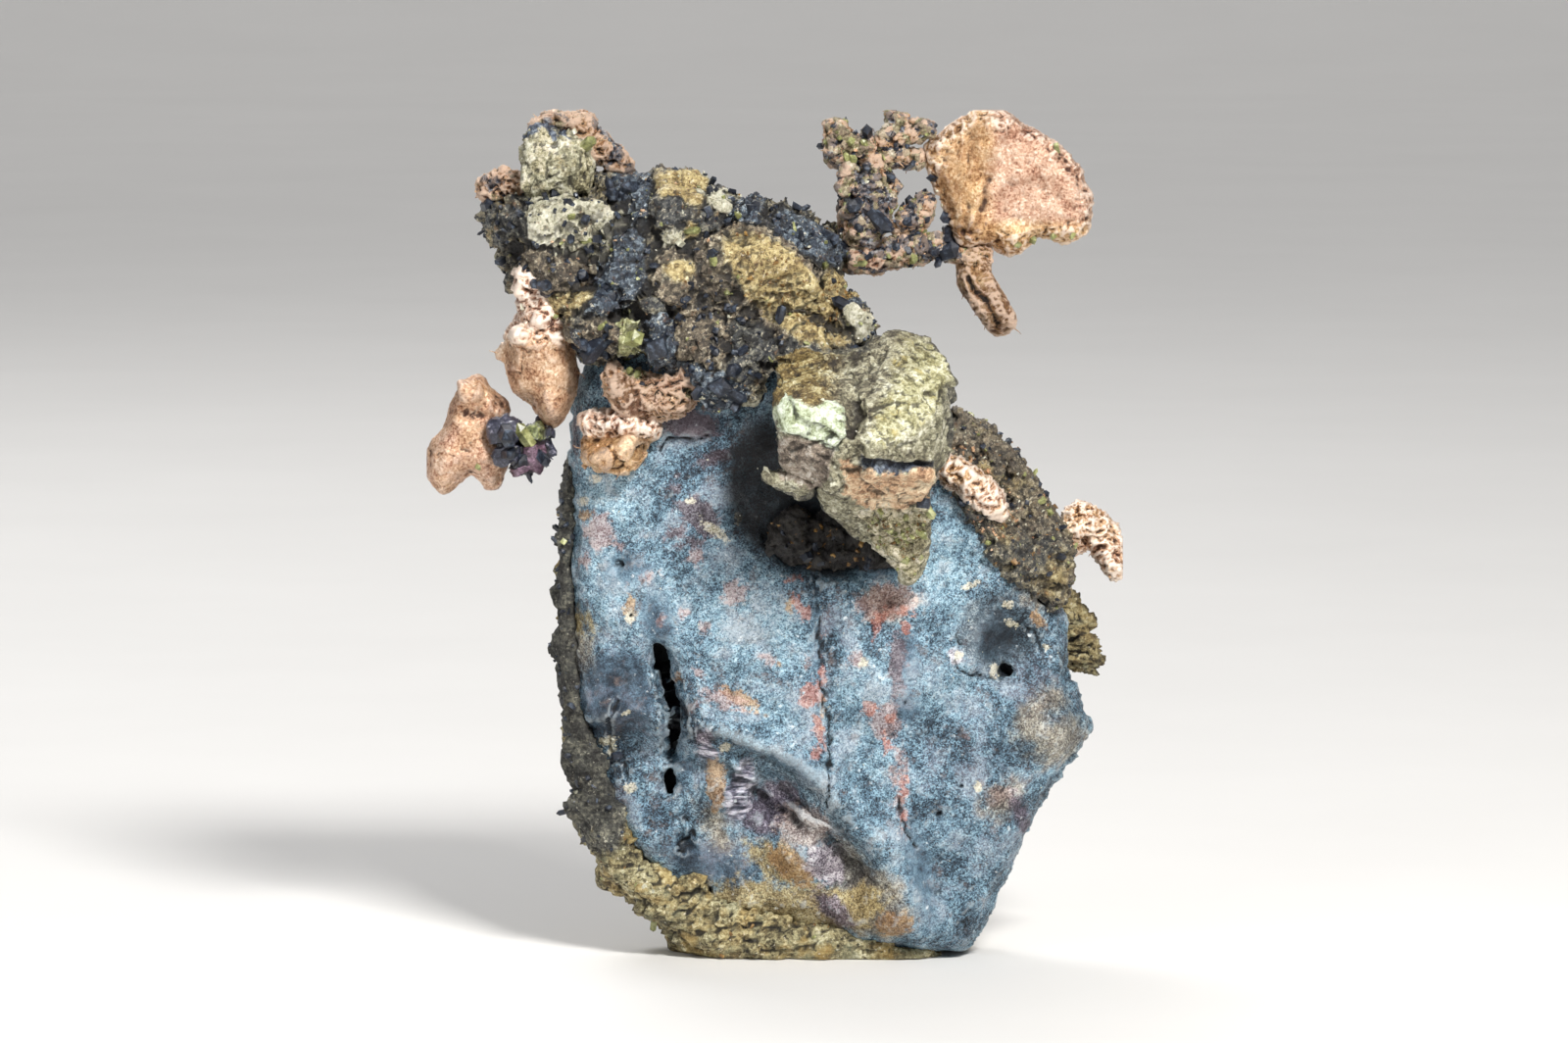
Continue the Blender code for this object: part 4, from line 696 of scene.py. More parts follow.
BOULDER_PATCHES = (
    ("side", 0.8, 1.8, 0.4, 0.9, (0.22, 22, 22, 25), (0.42, 64, 64, 62), (0.58, 104, 100, 88), (0.80, 190, 184, 162)),
    ("ochre", 1.2, 0.9, 0.3, 0.92, (0.26, 40, 29, 13), (0.45, 106, 84, 40), (0.57, 152, 130, 76), (0.69, 190, 178, 128), (0.84, 238, 234, 206)),
    ("right_face", 1.7, 0.9, 0.3, 0.92, (0.24, 84, 78, 48), (0.40, 152, 146, 102), (0.52, 194, 190, 148), (0.66, 222, 219, 188), (0.80, 252, 252, 240)),
    ("groove", 1.4, 0.9, 0.6, 0.8, (0.24, 44, 38, 32), (0.42, 108, 100, 82), (0.58, 164, 158, 130), (0.80, 232, 230, 206)),
    ("cream", 0.7, 0.9, 0.08, 0.95, (0.22, 110, 116, 84), (0.38, 176, 186, 146), (0.52, 212, 222, 194), (0.68, 244, 250, 236)),
    ("purple", 0.6, 0.9, 0.15, 0.92, (0.22, 64, 54, 48), (0.42, 124, 110, 98), (0.58, 168, 152, 136), (0.80, 218, 212, 202)),
    ("copper", 0.8, 0.9, 0.15, 0.92, (0.22, 126, 84, 58), (0.42, 208, 164, 126), (0.56, 236, 204, 166), (0.78, 252, 234, 200)),
    ("tail", 1.2, 0.9, 0.3, 0.92, (0.20, 40, 34, 26), (0.36, 118, 110, 80), (0.48, 176, 168, 132), (0.62, 218, 208, 182), (0.80, 250, 242, 228)),
    ("blue", 0.6, 0.5, 0.12, 0.95, (0.25, 16, 20, 32), (0.5, 58, 70, 92), (0.75, 150, 162, 174)),
)
ARM_PATCHES = (
    ("cream", 0.2, 0.5, 0.1, 0.9, (0.25, 120, 108, 84), (0.5, 196, 186, 154), (0.75, 250, 246, 230)),
    ("green", 0.6, 0.5, 0.1, 0.9, (0.25, 34, 32, 22), (0.45, 88, 86, 56), (0.60, 148, 146, 104), (0.82, 236, 234, 204)),
    ("blue", 0.6, 0.5, 0.1, 0.92, (0.25, 8, 11, 18), (0.45, 34, 44, 60), (0.62, 84, 100, 120), (0.82, 196, 206, 212)),
)
CLUSTER_PATCHES = (
    ("green", 0.3, 0.5, 0.1, 0.95, (0.22, 44, 46, 30), (0.42, 100, 106, 66), (0.60, 160, 168, 116), (0.80, 222, 228, 186)),
    ("plum", 0.3, 0.5, 0.1, 0.95, (0.22, 38, 22, 32), (0.42, 84, 60, 74), (0.60, 132, 104, 122), (0.80, 210, 188, 200)),
)
PATCHES = {
    "tarnished_copper": SLAB_PATCHES, "bright_copper": (), "dark_copper": ARM_PATCHES, "dark_rock": ROCK_PATCHES,
    "brown_rock": ROCK_PATCHES[:2], "pale_stone": BOULDER_PATCHES, "crystals": CLUSTER_PATCHES,
}


def tarnished_copper():
    """Blue-grey tarnish of tiny glittering crystals, with rust, ochre and cream where it has worn or grown over."""
    paint = Paint("tarnished_copper")
    smooth = paint.mask(paint.field("smooth"), -0.6, 1.0)
    grain = paint.cells(0.16)
    fine = paint.noise(0.16, detail=3, rough=0.75)
    medium = paint.noise(1.0, detail=6, rough=0.75)
    broad = paint.noise(3.6, detail=4, rough=0.6)
    # The fine speckle of light and dark: the crystals' own grain, and painted glitter.
    spark = paint.total((fine, 1.0), (grain, 0.45))
    strong = paint.spread(smooth, 0, 1, 0.85, 0.35)
    value = paint.total((spark, strong), (medium, 0.62), (broad, 0.9))
    # Lighter and darker by the tone field: partly the slab's colour, partly painted light and shade.
    value = paint.math("MULTIPLY_ADD", paint.field("tone"), 0.12, value)
    shade = paint.ramp(
        value, (0.14, 10, 14, 20), (0.32, 44, 58, 72), (0.44, 84, 110, 128), (0.54, 120, 153, 172),
        (0.66, 160, 194, 210), (0.84, 216, 237, 245),
    )
    blue = paint.math("MULTIPLY", smooth, 0.45)
    shade = paint.mix(blue, shade, paint.ramp(value, (0.25, 36, 48, 62), (0.5, 86, 108, 128), (0.75, 146, 168, 184)))
    shade = paint.tint(shade, paint.mask(broad, 0.48, 0.66), 0.40, 142, 130, 140)
    shade = paint.tint(shade, paint.mask(paint.noise(1.9, detail=6, rough=0.75), 0.53, 0.70), 0.42, 158, 136, 126)
    shade = paint.patches(shade, value, SLAB_PATCHES)
    streak = paint.noise(0.9, detail=3, rough=0.6, stretch=(3.0, 1.0, 0.45), warp=0.4)
    lilac = paint.ramp(streak, (0.40, 40, 36, 50), (0.50, 136, 132, 150), (0.60, 236, 232, 242))
    cover = paint.mask(paint.math("ADD", paint.field("lavender"), paint.math("SUBTRACT", medium, 0.5)), -0.2, 0.3)
    shade = paint.mix(paint.math("MULTIPLY", cover, 0.9), shade, lilac)
    wander = paint.math("SUBTRACT", paint.noise(2.2, detail=6, rough=0.62, stretch=(1.0, 1.0, 0.6), warp=0.5), 0.5)
    net = paint.mask(paint.math("ABSOLUTE", wander), 0.022, 0.004)
    crackle = paint.math("MULTIPLY", net, paint.mask(medium, 0.40, 0.56))
    shade = paint.tint(shade, crackle, 0.6, 30, 38, 48)
    # Painted glints: sparse near-white flecks on the grain.
    painted_glint = paint.math("MULTIPLY", paint.mask(paint.cells(0.30), 0.86, 0.96), paint.mask(medium, 0.45, 0.6))
    shade = paint.tint(shade, painted_glint, 0.75, 244, 250, 252)
    # Painted shade: near black down in the cracks, the fissure and the pits.
    shade = paint.patch(shade, value, "gap", 0.10, 0.3, 0.10, 0.96, (0.2, 6, 6, 8), (0.8, 18, 18, 22))
    # Painted highlight: near-white on the points and crests.
    shade = paint.wear_and_highlight(shade, 0.28, 230, 242, 246)
    shade = paint.darken_hollows(shade, small=0.42, broad=0.6, tone=(14, 16, 20))
    # Painted shadow of the boulder, nearly black, on the slab below it and to its left.
    shade = paint.tint(shade, paint.mask(paint.field("pocket"), 0.16, 0.62), 0.93, 13, 11, 13)
    paint.bump((medium, 0.16), (spark, 0.10))
    rough = paint.spread(spark, 0.3, 0.75, 0.52, 0.26)
    return paint.done(shade, roughness=rough, metallic=paint.spread(smooth, 0, 1, 0.35, 0.2))


def copper_tones(paint, value):
    """Pink copper, and golden copper where the gold field says so."""
    pink = paint.ramp(
        value, (0.16, 92, 52, 38), (0.34, 164, 116, 92), (0.48, 200, 162, 136),
        (0.62, 214, 180, 156), (0.84, 250, 230, 212),
    )
    gold = paint.ramp(
        value, (0.16, 84, 52, 26), (0.34, 156, 110, 68), (0.48, 198, 156, 108),
        (0.62, 218, 180, 134), (0.84, 252, 228, 190),
    )
    return paint.mix(paint.mask(paint.field("gold"), -0.8, 0.8), pink, gold)


def bright_copper():
    """Bare copper: golden and pink, finely frosted, with a brown film here and there."""
    paint = Paint("bright_copper")
    broad = paint.noise(2.4, detail=4, warp=0.6)
    fine = paint.noise(0.24, detail=4, rough=0.75)
    value = paint.total((broad, 0.8), (fine, 1.15), (paint.cells(0.27, warp=0.3), 0.32))
    shade = copper_tones(paint, value)
    film = paint.mask(paint.noise(1.1, detail=7, rough=0.75), 0.56, 0.76)
    shade = paint.tint(shade, film, 0.4, 130, 86, 60)
    shade = paint.tint(shade, paint.mask(paint.field("fold"), 0.1, 0.9), 0.6, 104, 66, 42)
    # Paler crests, most on jagged copper: bare copper and painted highlight.
    hackly = paint.mask(paint.field("hackly"), 0.35, 0.9)
    shade = paint.wear_and_highlight(shade, paint.spread(hackly, 0, 1, 0.25, 0.8), 255, 238, 222)
    shade = paint.darken_hollows(shade, small=0.9, broad=0.7, tone=(48, 22, 14))
    paint.bump((broad, 0.08), (fine, 0.10))
    rough = paint.spread(fine, 0.3, 0.7, 0.5, 0.28)
    return paint.done(shade, roughness=rough, metallic=paint.spread(film, 0, 1, 0.5, 0.15))


def dark_copper():
    """Copper overgrown with blue-black, olive and cream minerals, bare on its points, and lighter there with painted
    highlight.
    """
    paint = Paint("dark_copper")
    broad = paint.noise(1.6, detail=5, warp=0.5)
    fine = paint.noise(0.26, detail=5, rough=0.75)
    value = paint.total((broad, 1.0), (fine, 1.1), (paint.cells(0.32, warp=0.3), 0.35))
    shade = copper_tones(paint, value)
    film = paint.mask(paint.noise(1.3, detail=6, rough=0.75), 0.45, 0.60)
    dull = paint.ramp(value, (0.2, 34, 20, 16), (0.5, 112, 74, 54), (0.8, 200, 156, 124))
    shade = paint.mix(paint.math("MULTIPLY", film, 0.5), shade, dull)
    shade = paint.tint(shade, paint.mask(paint.field("fold"), 0.1, 0.9), 0.6, 104, 66, 42)
    # Bare copper on the points and bead tops, with painted highlight.
    shade = paint.wear_and_highlight(shade, 0.6, 255, 226, 202)
    shade = paint.patches(shade, value, ARM_PATCHES)
    # A second, fainter painted highlight on the points, over the mineral patches.
    shade = paint.wear_and_highlight(shade, 0.25, 244, 214, 190)
    shade = paint.darken_hollows(shade, small=0.95, broad=0.9, tone=(16, 9, 8))
    paint.bump((value, 0.12), (fine, 0.12))
    return paint.done(shade, roughness=paint.spread(fine, 0.3, 0.7, 0.5, 0.28), metallic=paint.spread(film, 0, 1, 0.4, 0.1))


def rock_value(paint):
    """The light and dark of rock grains, and its fine part."""
    small = paint.cells(0.42, warp=0.6)
    fine = paint.noise(0.28, detail=5, rough=0.75)
    broad = paint.noise(2.6, detail=6, rough=0.7)
    return paint.total((small, 0.42), (fine, 1.1), (broad, 0.7)), small, fine


def dark_rock():
    """The dark crust: blue-black, brown and olive blocks with grains of paler mineral."""
    paint = Paint("dark_rock", specular=0.6)
    value, small, fine = rock_value(paint)
    shade = paint.ramp(
        value, (0.20, 16, 16, 18), (0.36, 52, 53, 55), (0.46, 86, 86, 82), (0.56, 122, 115, 96), (0.68, 172, 161, 130),
        (0.82, 232, 226, 204),
    )
    shade = paint.patches(shade, value, ROCK_PATCHES)
    shade = paint.tint(shade, paint.mask(paint.noise(0.9, detail=4, rough=0.7), 0.58, 0.68), 0.5, 132, 92, 58)
    speck = paint.mask(paint.noise(0.42, detail=3, rough=0.6), 0.60, 0.68)
    shade = paint.tint(shade, speck, 0.75, 226, 216, 190)
    shade = paint.tint(shade, paint.field("dim"), 0.32, 24, 24, 22)
    # Painted shadow in the hollow under the boulder, nearly black over the crumbs' red-brown.
    shade = paint.tint(shade, paint.field("pocket"), 0.95, 15, 8, 6)
    # Painted shade: near black in the gaps between blocks.
    shade = paint.patch(shade, value, "gap", 0.12, 0.4, 0.10, 0.92, (0.2, 5, 5, 6), (0.8, 16, 15, 15))
    shade = paint.darken_hollows(shade, small=0.6, broad=0.8)
    paint.bump((small, 0.08), (fine, 0.22))
    return paint.done(shade, roughness=paint.spread(fine, 0.35, 0.7, 0.6, 0.28))


def brown_rock():
    """The rock behind the copper: uneven ledges of yellow-brown and grey-brown, crumbly, with dark partings."""
    paint = Paint("brown_rock")
    bands = paint.noise(1.6, detail=5, rough=0.65, stretch=(3, 3, 0.55), warp=0.8)
    value, _, fine = rock_value(paint)
    value = paint.total((value, 0.9), (bands, 0.9))
    shade = paint.ramp(
        value, (0.18, 24, 20, 14), (0.36, 84, 76, 52), (0.50, 134, 124, 90), (0.64, 176, 168, 128), (0.84, 234, 228, 196),
    )
    shade = paint.tint(shade, paint.mask(paint.noise(2.4, detail=4), 0.52, 0.66), 0.45, 112, 118, 96)
    shade = paint.tint(shade, paint.mask(paint.noise(3.4, detail=5), 0.54, 0.66), 0.5, 180, 148, 78)
    shade = paint.patches(shade, value, ROCK_PATCHES[:2])
    speck = paint.mask(paint.noise(0.45, detail=2), 0.66, 0.71)
    shade = paint.tint(shade, speck, 0.75, 232, 226, 204)
    # Darker where the dim field says; down the rock's left rim this is partly painted shade.
    shade = paint.tint(shade, paint.field("dim"), 0.52, 26, 24, 18)
    shade = paint.darken_hollows(shade, small=0.88, broad=0.8)
    paint.bump((bands, 0.22), (fine, 0.20))
    return paint.done(shade, roughness=paint.spread(fine, 0.3, 0.7, 0.85, 0.5))


def pale_stone():
    """The boulder and the small stone on top: cream and ochre faces, a purple-brown and a copper-stained one."""
    paint = Paint("pale_stone")
    fine = paint.noise(0.26, detail=5, rough=0.75)
    grain = paint.cells(0.50, warp=0.5)
    blotch = paint.noise(2.6, detail=6, rough=0.7)
    value = paint.total((fine, 1.0), (grain, 0.30), (blotch, 1.1))
    shade = paint.ramp(
        value, (0.20, 52, 48, 38), (0.38, 116, 112, 88), (0.52, 160, 156, 128), (0.66, 206, 202, 178), (0.84, 244, 242, 230),
    )
    shade = paint.patches(shade, value, BOULDER_PATCHES)
    streak = paint.mask(paint.noise(0.7, detail=4, rough=0.6, stretch=(2.2, 1.0, 0.6), warp=0.8), 0.50, 0.62)
    cover = paint.math("MULTIPLY", streak, paint.mask(paint.field("groove"), -0.3, 0.5))
    shade = paint.tint(shade, cover, 0.8, 52, 44, 36)
    yellow = paint.mask(paint.noise(1.5, detail=5, rough=0.7), 0.54, 0.66)
    cover = paint.math("MULTIPLY", yellow, paint.mask(paint.field("right_face"), -0.2, 0.5))
    shade = paint.tint(shade, cover, 0.42, 204, 182, 98)
    shade = paint.tint(shade, paint.mask(paint.noise(0.40, detail=3), 0.64, 0.72), 0.4, 84, 70, 50)
    shade = paint.darken_hollows(shade, small=0.7, broad=0.55, tone=(30, 24, 20))
    paint.bump((blotch, 0.16), (fine, 0.16))
    return paint.done(shade, roughness=paint.spread(fine, 0.3, 0.7, 0.7, 0.4))


def cluster_crystal():
    """The cluster's faces: violet-black, with one green crystal and a magenta one."""
    paint = Paint("cluster_crystals", roughness=0.25)
    paint.shader.inputs["Coat Weight"].default_value = 0.3
    fine = paint.noise(0.26, detail=4, rough=0.7)
    value = paint.total((fine, 1.0), (paint.noise(1.6, detail=5), 0.8))
    shade = paint.ramp(value, (0.2, 12, 13, 20), (0.45, 38, 40, 54), (0.62, 78, 78, 94), (0.82, 186, 182, 194))
    shade = paint.patches(shade, value, CLUSTER_PATCHES)
    shade = paint.darken_hollows(shade, small=0.8, broad=0.6)
    paint.bump((fine, 0.06))
    return paint.done(shade, roughness=paint.spread(fine, 0.3, 0.7, 0.42, 0.2))


def crystal_glass(name, dark, middle, light, roughness=0.22):
    """A mineral crystal: cloudy, banded colour and a glassy surface."""
    paint = Paint(name, roughness=roughness)
    paint.shader.inputs["Coat Weight"].default_value = 0.12
    paint.shader.inputs["Coat Roughness"].default_value = 0.2
    value = paint.noise(0.8, detail=4, rough=0.7)
    shade = paint.ramp(value, (0.3, *dark), (0.52, *middle), (0.72, *light))
    paint.bump((paint.noise(0.2, detail=3), 0.04))
    return paint.done(shade, roughness=paint.spread(value, 0.3, 0.7, roughness + 0.15, roughness))


# Relief of each kind of surface
def smooth_step(value):
    value = np.clip(value, 0, 1)
    return value * value * (3 - 2 * value)


def bump_at(x, v, centre_x, centre_v, half_width, half_height):
    """A soft round weight, 1 in its middle."""
    return np.exp(-(((x - centre_x) / half_width) ** 2) - ((v - centre_v) / half_height) ** 2)


def slab_crevices(points, x, v):
    """Depth of the cracks, the fissure and the pits, and the distance from the fissure."""
    wander = 0.35 * noise(points / 0.8, 41)
    depth = np.zeros(len(x))
    for number, path in enumerate(CRACKS):
        away = path_distance(x + wander, v + 0.3 * noise(points / 0.9, 42 + number), path)
        depth = np.maximum(depth, 0.5 * np.clip(1 - away / 0.27, 0, 1))
    left_edge = 0.75 * facets(points, 1.1, 51) * (x < path_middle(v, FISSURE))
    from_fissure = path_distance(x + left_edge + 0.25 * layered(points, 1.0, 51, 3), v, FISSURE)
    width = 0.24 + 0.20 * np.clip((v - 21.2) / 10.4, 0, 1)
    depth = np.maximum(depth, 2.4 * np.clip(1.6 - from_fissure / width, 0, 1))
    for pit_x, pit_v, half_width, half_height, deepest in PITS:
        reach = np.hypot((x - pit_x + wander * 0.6) / half_width, (v - pit_v + wander * 0.6) / half_height)
        depth = np.maximum(depth, deepest * np.clip(1.3 * (1 - reach), 0, 1))
    return depth, from_fissure


def path_middle(v, path):
    """The x of a path that runs up the picture, at each height."""
    heights = [place[1] for place in path][::-1]
    return np.interp(v, heights, [place[0] for place in path][::-1])


def slab_lip(x, v):
    """The rounded lip of the bowl at the slab's foot, the drop under it and the slow rise beyond."""
    side = side_of(x, v, LIP)
    window = np.clip((x + 10.5) / 3, 0, 1) * np.clip((16.5 - x) / 3, 0, 1) * np.clip((v - 2) / 4, 0, 1)
    deep = 0.7 + 1.3 * np.exp(-(((x - 1.5) / 6.0) ** 2))
    roll = 0.5 * np.exp(-(((side - 1) / 2.4) ** 2))
    drop = smooth_step((0.8 - side) / 2.4) - 0.85 * np.clip((-side - 2.4) / 4.5, 0, 1)
    return (roll - deep * drop) * window * (np.abs(side) < 12)


def slab_grain(points, x, v, from_fissure):
    """The fine grain: a sugary crust, upright ribs, a crumpled fold and flow lines by the fissure."""
    grain = 0.16 * layered(points, 1.5, 11, 5, 0.65) + 0.06 * layered(points, 0.6, 17, 2, ridged=True)
    grain += 0.09 * facets(bent(points, 1.0, 0.3, 13), 0.75, 19) + 0.09 * facets(bent(points, 2.0, 0.6, 14), 2.0, 21)
    upright = bump_at(x, v, 5.6, 33.0, 1.8, 6.5)
    grain += 0.13 * upright * layered(points * (1.0, 1.0, 0.3), 0.65, 23, 2, ridged=True)
    crumpled = bump_at(x, v, -4.4, 17.4, 2.6, 3.4)
    slant = points @ np.array(Matrix.Rotation(math.radians(35), 3, "Y"))
    grain += 0.22 * crumpled * layered(slant * (1.0, 1.0, 0.3), 0.8, 29, 2, ridged=True)
    flow = np.exp(-(((from_fissure - 1.6) / 1.2) ** 2)) * (x > -10.6)
    return grain + 0.07 * flow * np.sin(from_fissure * 9.0 + 2 * noise(points / 2.5, 61))


def slab_relief(skin):
    """Folds, grain, cracks and pits on the tarnished slab, and its coloured marks."""
    x, v, facing = skin.front()
    points = skin.points
    depth, from_fissure = slab_crevices(points, x, v)
    smooth = ellipse_field(x, v, SMOOTH)
    quiet = np.clip(0.75 - 0.55 * smooth, 0.2, 1)
    grain = slab_grain(points, x, v, from_fissure)
    waves = 0.50 * layered(points, 7.0, 5, 5, 0.55)
    rough_edge = 0.45 * (1 - facing) * (layered(points, 1.6, 71, 3, ridged=True) + 0.8 * facets(points, 1.4, 73))
    shape = slab_lip(x, v) + soft_field(x, v, SWELLINGS)
    skin.push(waves + grain * quiet + rough_edge + shape * facing)
    skin.push(-depth * facing)
    walls = np.clip(1.1 - from_fissure, 0, 1) * np.clip(1.5 - 2 * facing, 0, 1)
    skin.push(walls * (0.42 + 0.5 * layered(points, 1.2, 65, 3)))
    marks = {
        "rust": RUST, "red": RED, "maroon": MAROON, "orange": ORANGE, "cream": CREAM, "lavender": LAVENDER,
        "plum": PLUM, "slate_and_lip_shadow": SLATE_AND_LIP_SHADOW, "pink_glitter": PINK_GLITTER, "white_glitter": WHITE_GLITTER,
        "brown_ground": BROWN_GROUND, "yellow_ground": YELLOW_GROUND,
    }
    for name, table in marks.items():
        skin.fields[name] = np.where(facing > 0.15, ellipse_field(x, v, table), -3.0)
    skin.fields["smooth"] = smooth
    skin.fields["tone"] = soft_field(x, v, TONES_AND_PAINTED_LIGHT)
    # How deep the cracks and pits go, which sets their painted shade.
    skin.fields["gap"] = np.clip(depth - 0.32, -0.4, 0.4) * facing - (1 - facing)
    # Where the boulder's shadow is painted on the slab: below the boulder and to its left.
    painted_boulder_shadow = np.maximum(bump_at(x, v, 4.5, 44.5, 8.5, 5.5), bump_at(x, v, -1.5, 48.5, 4.0, 7.5))
    skin.fields["pocket"] = painted_boulder_shadow


CHANCE_KINDS = ("brown", "dark", "blue", "ochre", "pale", "brown", "dark", "blue", "dark")


def broken_blocks(skin, table, size, lift):
    """Blocks where the table places them in front and by chance behind, with narrow gaps between them."""
    x, v, facing = skin.front()
    wobble = 0.55 * layered(skin.points, 1.5, 181, 4, 0.65)
    best = np.full(len(x), -1.2)
    second = best.copy()
    lean = np.zeros(len(x))
    kinds = sorted(set(CHANCE_KINDS) | {row[5] for row in table})
    kind = np.full(len(x), kinds.index("dark"))
    for number, (centre_x, centre_v, half_width, half_height, turn, name) in enumerate(table):
        angle = math.radians(turn)
        along = ((x - centre_x) * math.cos(angle) + (v - centre_v) * math.sin(angle)) / half_width
        across = ((v - centre_v) * math.cos(angle) - (x - centre_x) * math.sin(angle)) / half_height
        inside = (1 - (along**4 + across**4) ** 0.25) * min(half_width, half_height) + 0.35 + wobble
        wins = inside > best
        second = np.where(wins, best, np.maximum(second, inside))
        kind = np.where(wins, kinds.index(name), kind)
        lean = np.where(wins, lift * (0.3 * math.sin(number * 2.4) * along + 0.3 * math.cos(number * 3.7) * across), lean)
        best = np.where(wins, inside, best)
    points = bent(skin.points, 2.0, 0.5, 81)
    near, next_near, home = cells(points, size, 185)
    chance = np.array([kinds.index(name) for name in CHANCE_KINDS])
    picked = chance[(lattice(home, 187) * len(chance)).astype(int).clip(0, len(chance) - 1)]
    behind = facing < 0.22
    best = np.where(behind, (next_near - near) * size * 0.55 - 0.25, best)
    second = np.where(behind, -1.2, second)
    kind = np.where(behind, picked, kind)
    lean = np.where(behind, 0.5 * lift * facets(points, size, 185), lean)
    seam = np.where(second > -0.4, best - second, 9.0)
    closeness = np.minimum(seam, 1.3 * np.abs(best + 0.12))
    loose = best < -0.3
    random = 1.6 * lift * facets(points, 2.1, 31)
    skin.push(np.where(loose, random, lift * smooth_step(best / 0.5) + lean) - 0.55 * lift * np.clip(1 - closeness / 0.4, 0, 1))
    # The narrow gaps between blocks, which get painted shade.
    skin.fields["gap"] = 0.13 - closeness + 0.10 * noise(skin.points / 1.5, 189)
    for number, name in enumerate(kinds):
        skin.fields[name] = np.where(kind == number, best + 0.1, -np.abs(best) - 0.3)


def crust_relief(skin):
    """The broken blocks above the slab and the grains on them."""
    broken_blocks(skin, CRUST_BLOCKS, 4.6, 0.5)
    x, v, facing = skin.front()
    stain = np.where(facing > 0.1, 2.2 * ellipse_field(x, v, CRUST_STAINS), -2.0)
    skin.fields["ochre"] = np.maximum(skin.fields["ochre"], stain)
    skin.fields["brown"] = np.where(stain > -0.6, np.minimum(skin.fields["brown"], -stain), skin.fields["brown"])
    points = bent(skin.points, 1.0, 0.3, 82)
    calm = 1 - 0.6 * np.clip(np.maximum(skin.fields["ochre"], skin.fields["pale"]) / 0.8 + 0.3, 0, 1)
    skin.push(calm * 0.46 * facets(points, 1.1, 33, 1.6) + 0.22 * facets(points, 0.55, 39, 1.6))
    skin.push(0.12 * layered(skin.points, 0.9, 53, 3, 0.6) + 0.7 * layered(skin.points, 5.0, 37, 2) - 0.3)


def cluster_relief(skin):
    """The cluster of dark, green and violet crystals beside the small leaf."""
    broken_blocks(skin, CLUSTER_BLOCKS, 1.6, 0.7)
    skin.push(0.10 * facets(skin.points, 0.9, 43) - 0.1)


def plain_crust_relief(skin):
    """The same broken blocks, finer, on the smaller crusts."""
    broken_blocks(skin, (), 1.7, 0.5)
    points = bent(skin.points, 1.0, 0.3, 86)
    skin.push(0.30 * facets(points, 0.9, 131) + 0.20 * facets(points, 0.5, 133))


def edge_relief(skin):
    """The crust down the slab's right shoulder: brown and ochre grains over dark ones."""
    plain_crust_relief(skin)
    x, v, facing = skin.front()
    outer = np.clip((x - 20.5 + 0.5 * (v - 47.0)) / 3.0, -0.8, 0.8) - 0.7
    skin.fields["brown"] = 1.6 * layered(skin.points, 3.5, 165, 2) + outer
    skin.fields["ochre"] = 1.8 * layered(skin.points, 2.6, 167, 2) + outer - 0.4
    skin.fields["dim"] = np.full(len(x), 1.0)


def pocket_relief(skin):
    """The crumbs at the bottom of the hollow under the boulder, dark red-brown and painted nearly black for the shadow
    there.
    """
    plain_crust_relief(skin)
    skin.fields["pocket"] = np.full(len(skin.points), 1.0)


def rock_relief(skin):
    """Uneven ledges, partings and crumbs on the rock behind."""
    points = bent(skin.points, 2.5, 0.7, 88)
    tilted = points[:, 2] + 0.18 * points[:, 0] + 0.10 * points[:, 1] + 1.4 * layered(points, 9.0, 91, 3)
    share = np.clip(0.5 + 1.2 * layered(points, 6.0, 92, 2), 0, 1)
    step = tilted / 2.6 - np.floor(tilted / 2.6)
    thin = tilted / 0.8 - np.floor(tilted / 0.8)
    shelf = 0.7 * (step**1.5 - 0.4) * share + 0.16 * (thin - 0.5)
    flat = points * (0.6, 0.6, 1.5)
    behind = np.clip((skin.points[:, 1] - 9.0) / 6.0, 0, 1)
    broken = 1.5 * facets(bent(skin.points, 6.0, 1.5, 97) * (0.7, 0.7, 1.0), 5.0, 98, 1.6)
    broken += 1.5 * layered(skin.points, 11.0, 99, 2) - 1.3
    blocks = behind * broken + 0.8 * facets(flat, 2.2, 101) + 0.4 * facets(flat, 0.9, 103) + 0.22 * facets(points, 0.6, 105)
    crumbs = 0.28 * layered(skin.points, 1.2, 95, 4, 0.65)
    rim = np.clip((-15.0 - skin.points[:, 0]) / 2.0, 0, 1) * np.clip((9.0 - skin.points[:, 1]) / 6.0, 0, 1)
    relief = (shelf + blocks) * (1 - 0.65 * rim) + crumbs
    skin.push(relief * np.clip(skin.points[:, 2] / 1.5, 0, 1))
    x, v, _ = skin.front()
    # The left rim is darker: dark minerals, and painted shade where it turns from the light.
    left = np.clip((-15.0 - x) / 1.5, 0, 1) * np.clip((v - 9.0) / 6.0, 0, 1)
    left *= np.clip((9.0 - skin.points[:, 1]) / 6.0 + 0.5 * layered(skin.points, 3.0, 108, 3), 0, 1)
    skin.fields["dark"] = 2.2 * left + 0.7 * layered(skin.points, 2.4, 107, 3) - 0.6
    wedge = 0.7 if skin.node == "rock_wedge" else 0.0
    skin.fields["ochre"] = 1.6 * layered(skin.points, 3.4, 109, 3) - 0.6 - 1.5 * left + wedge
    skin.fields["dim"] = np.clip(left + wedge, 0, 1)


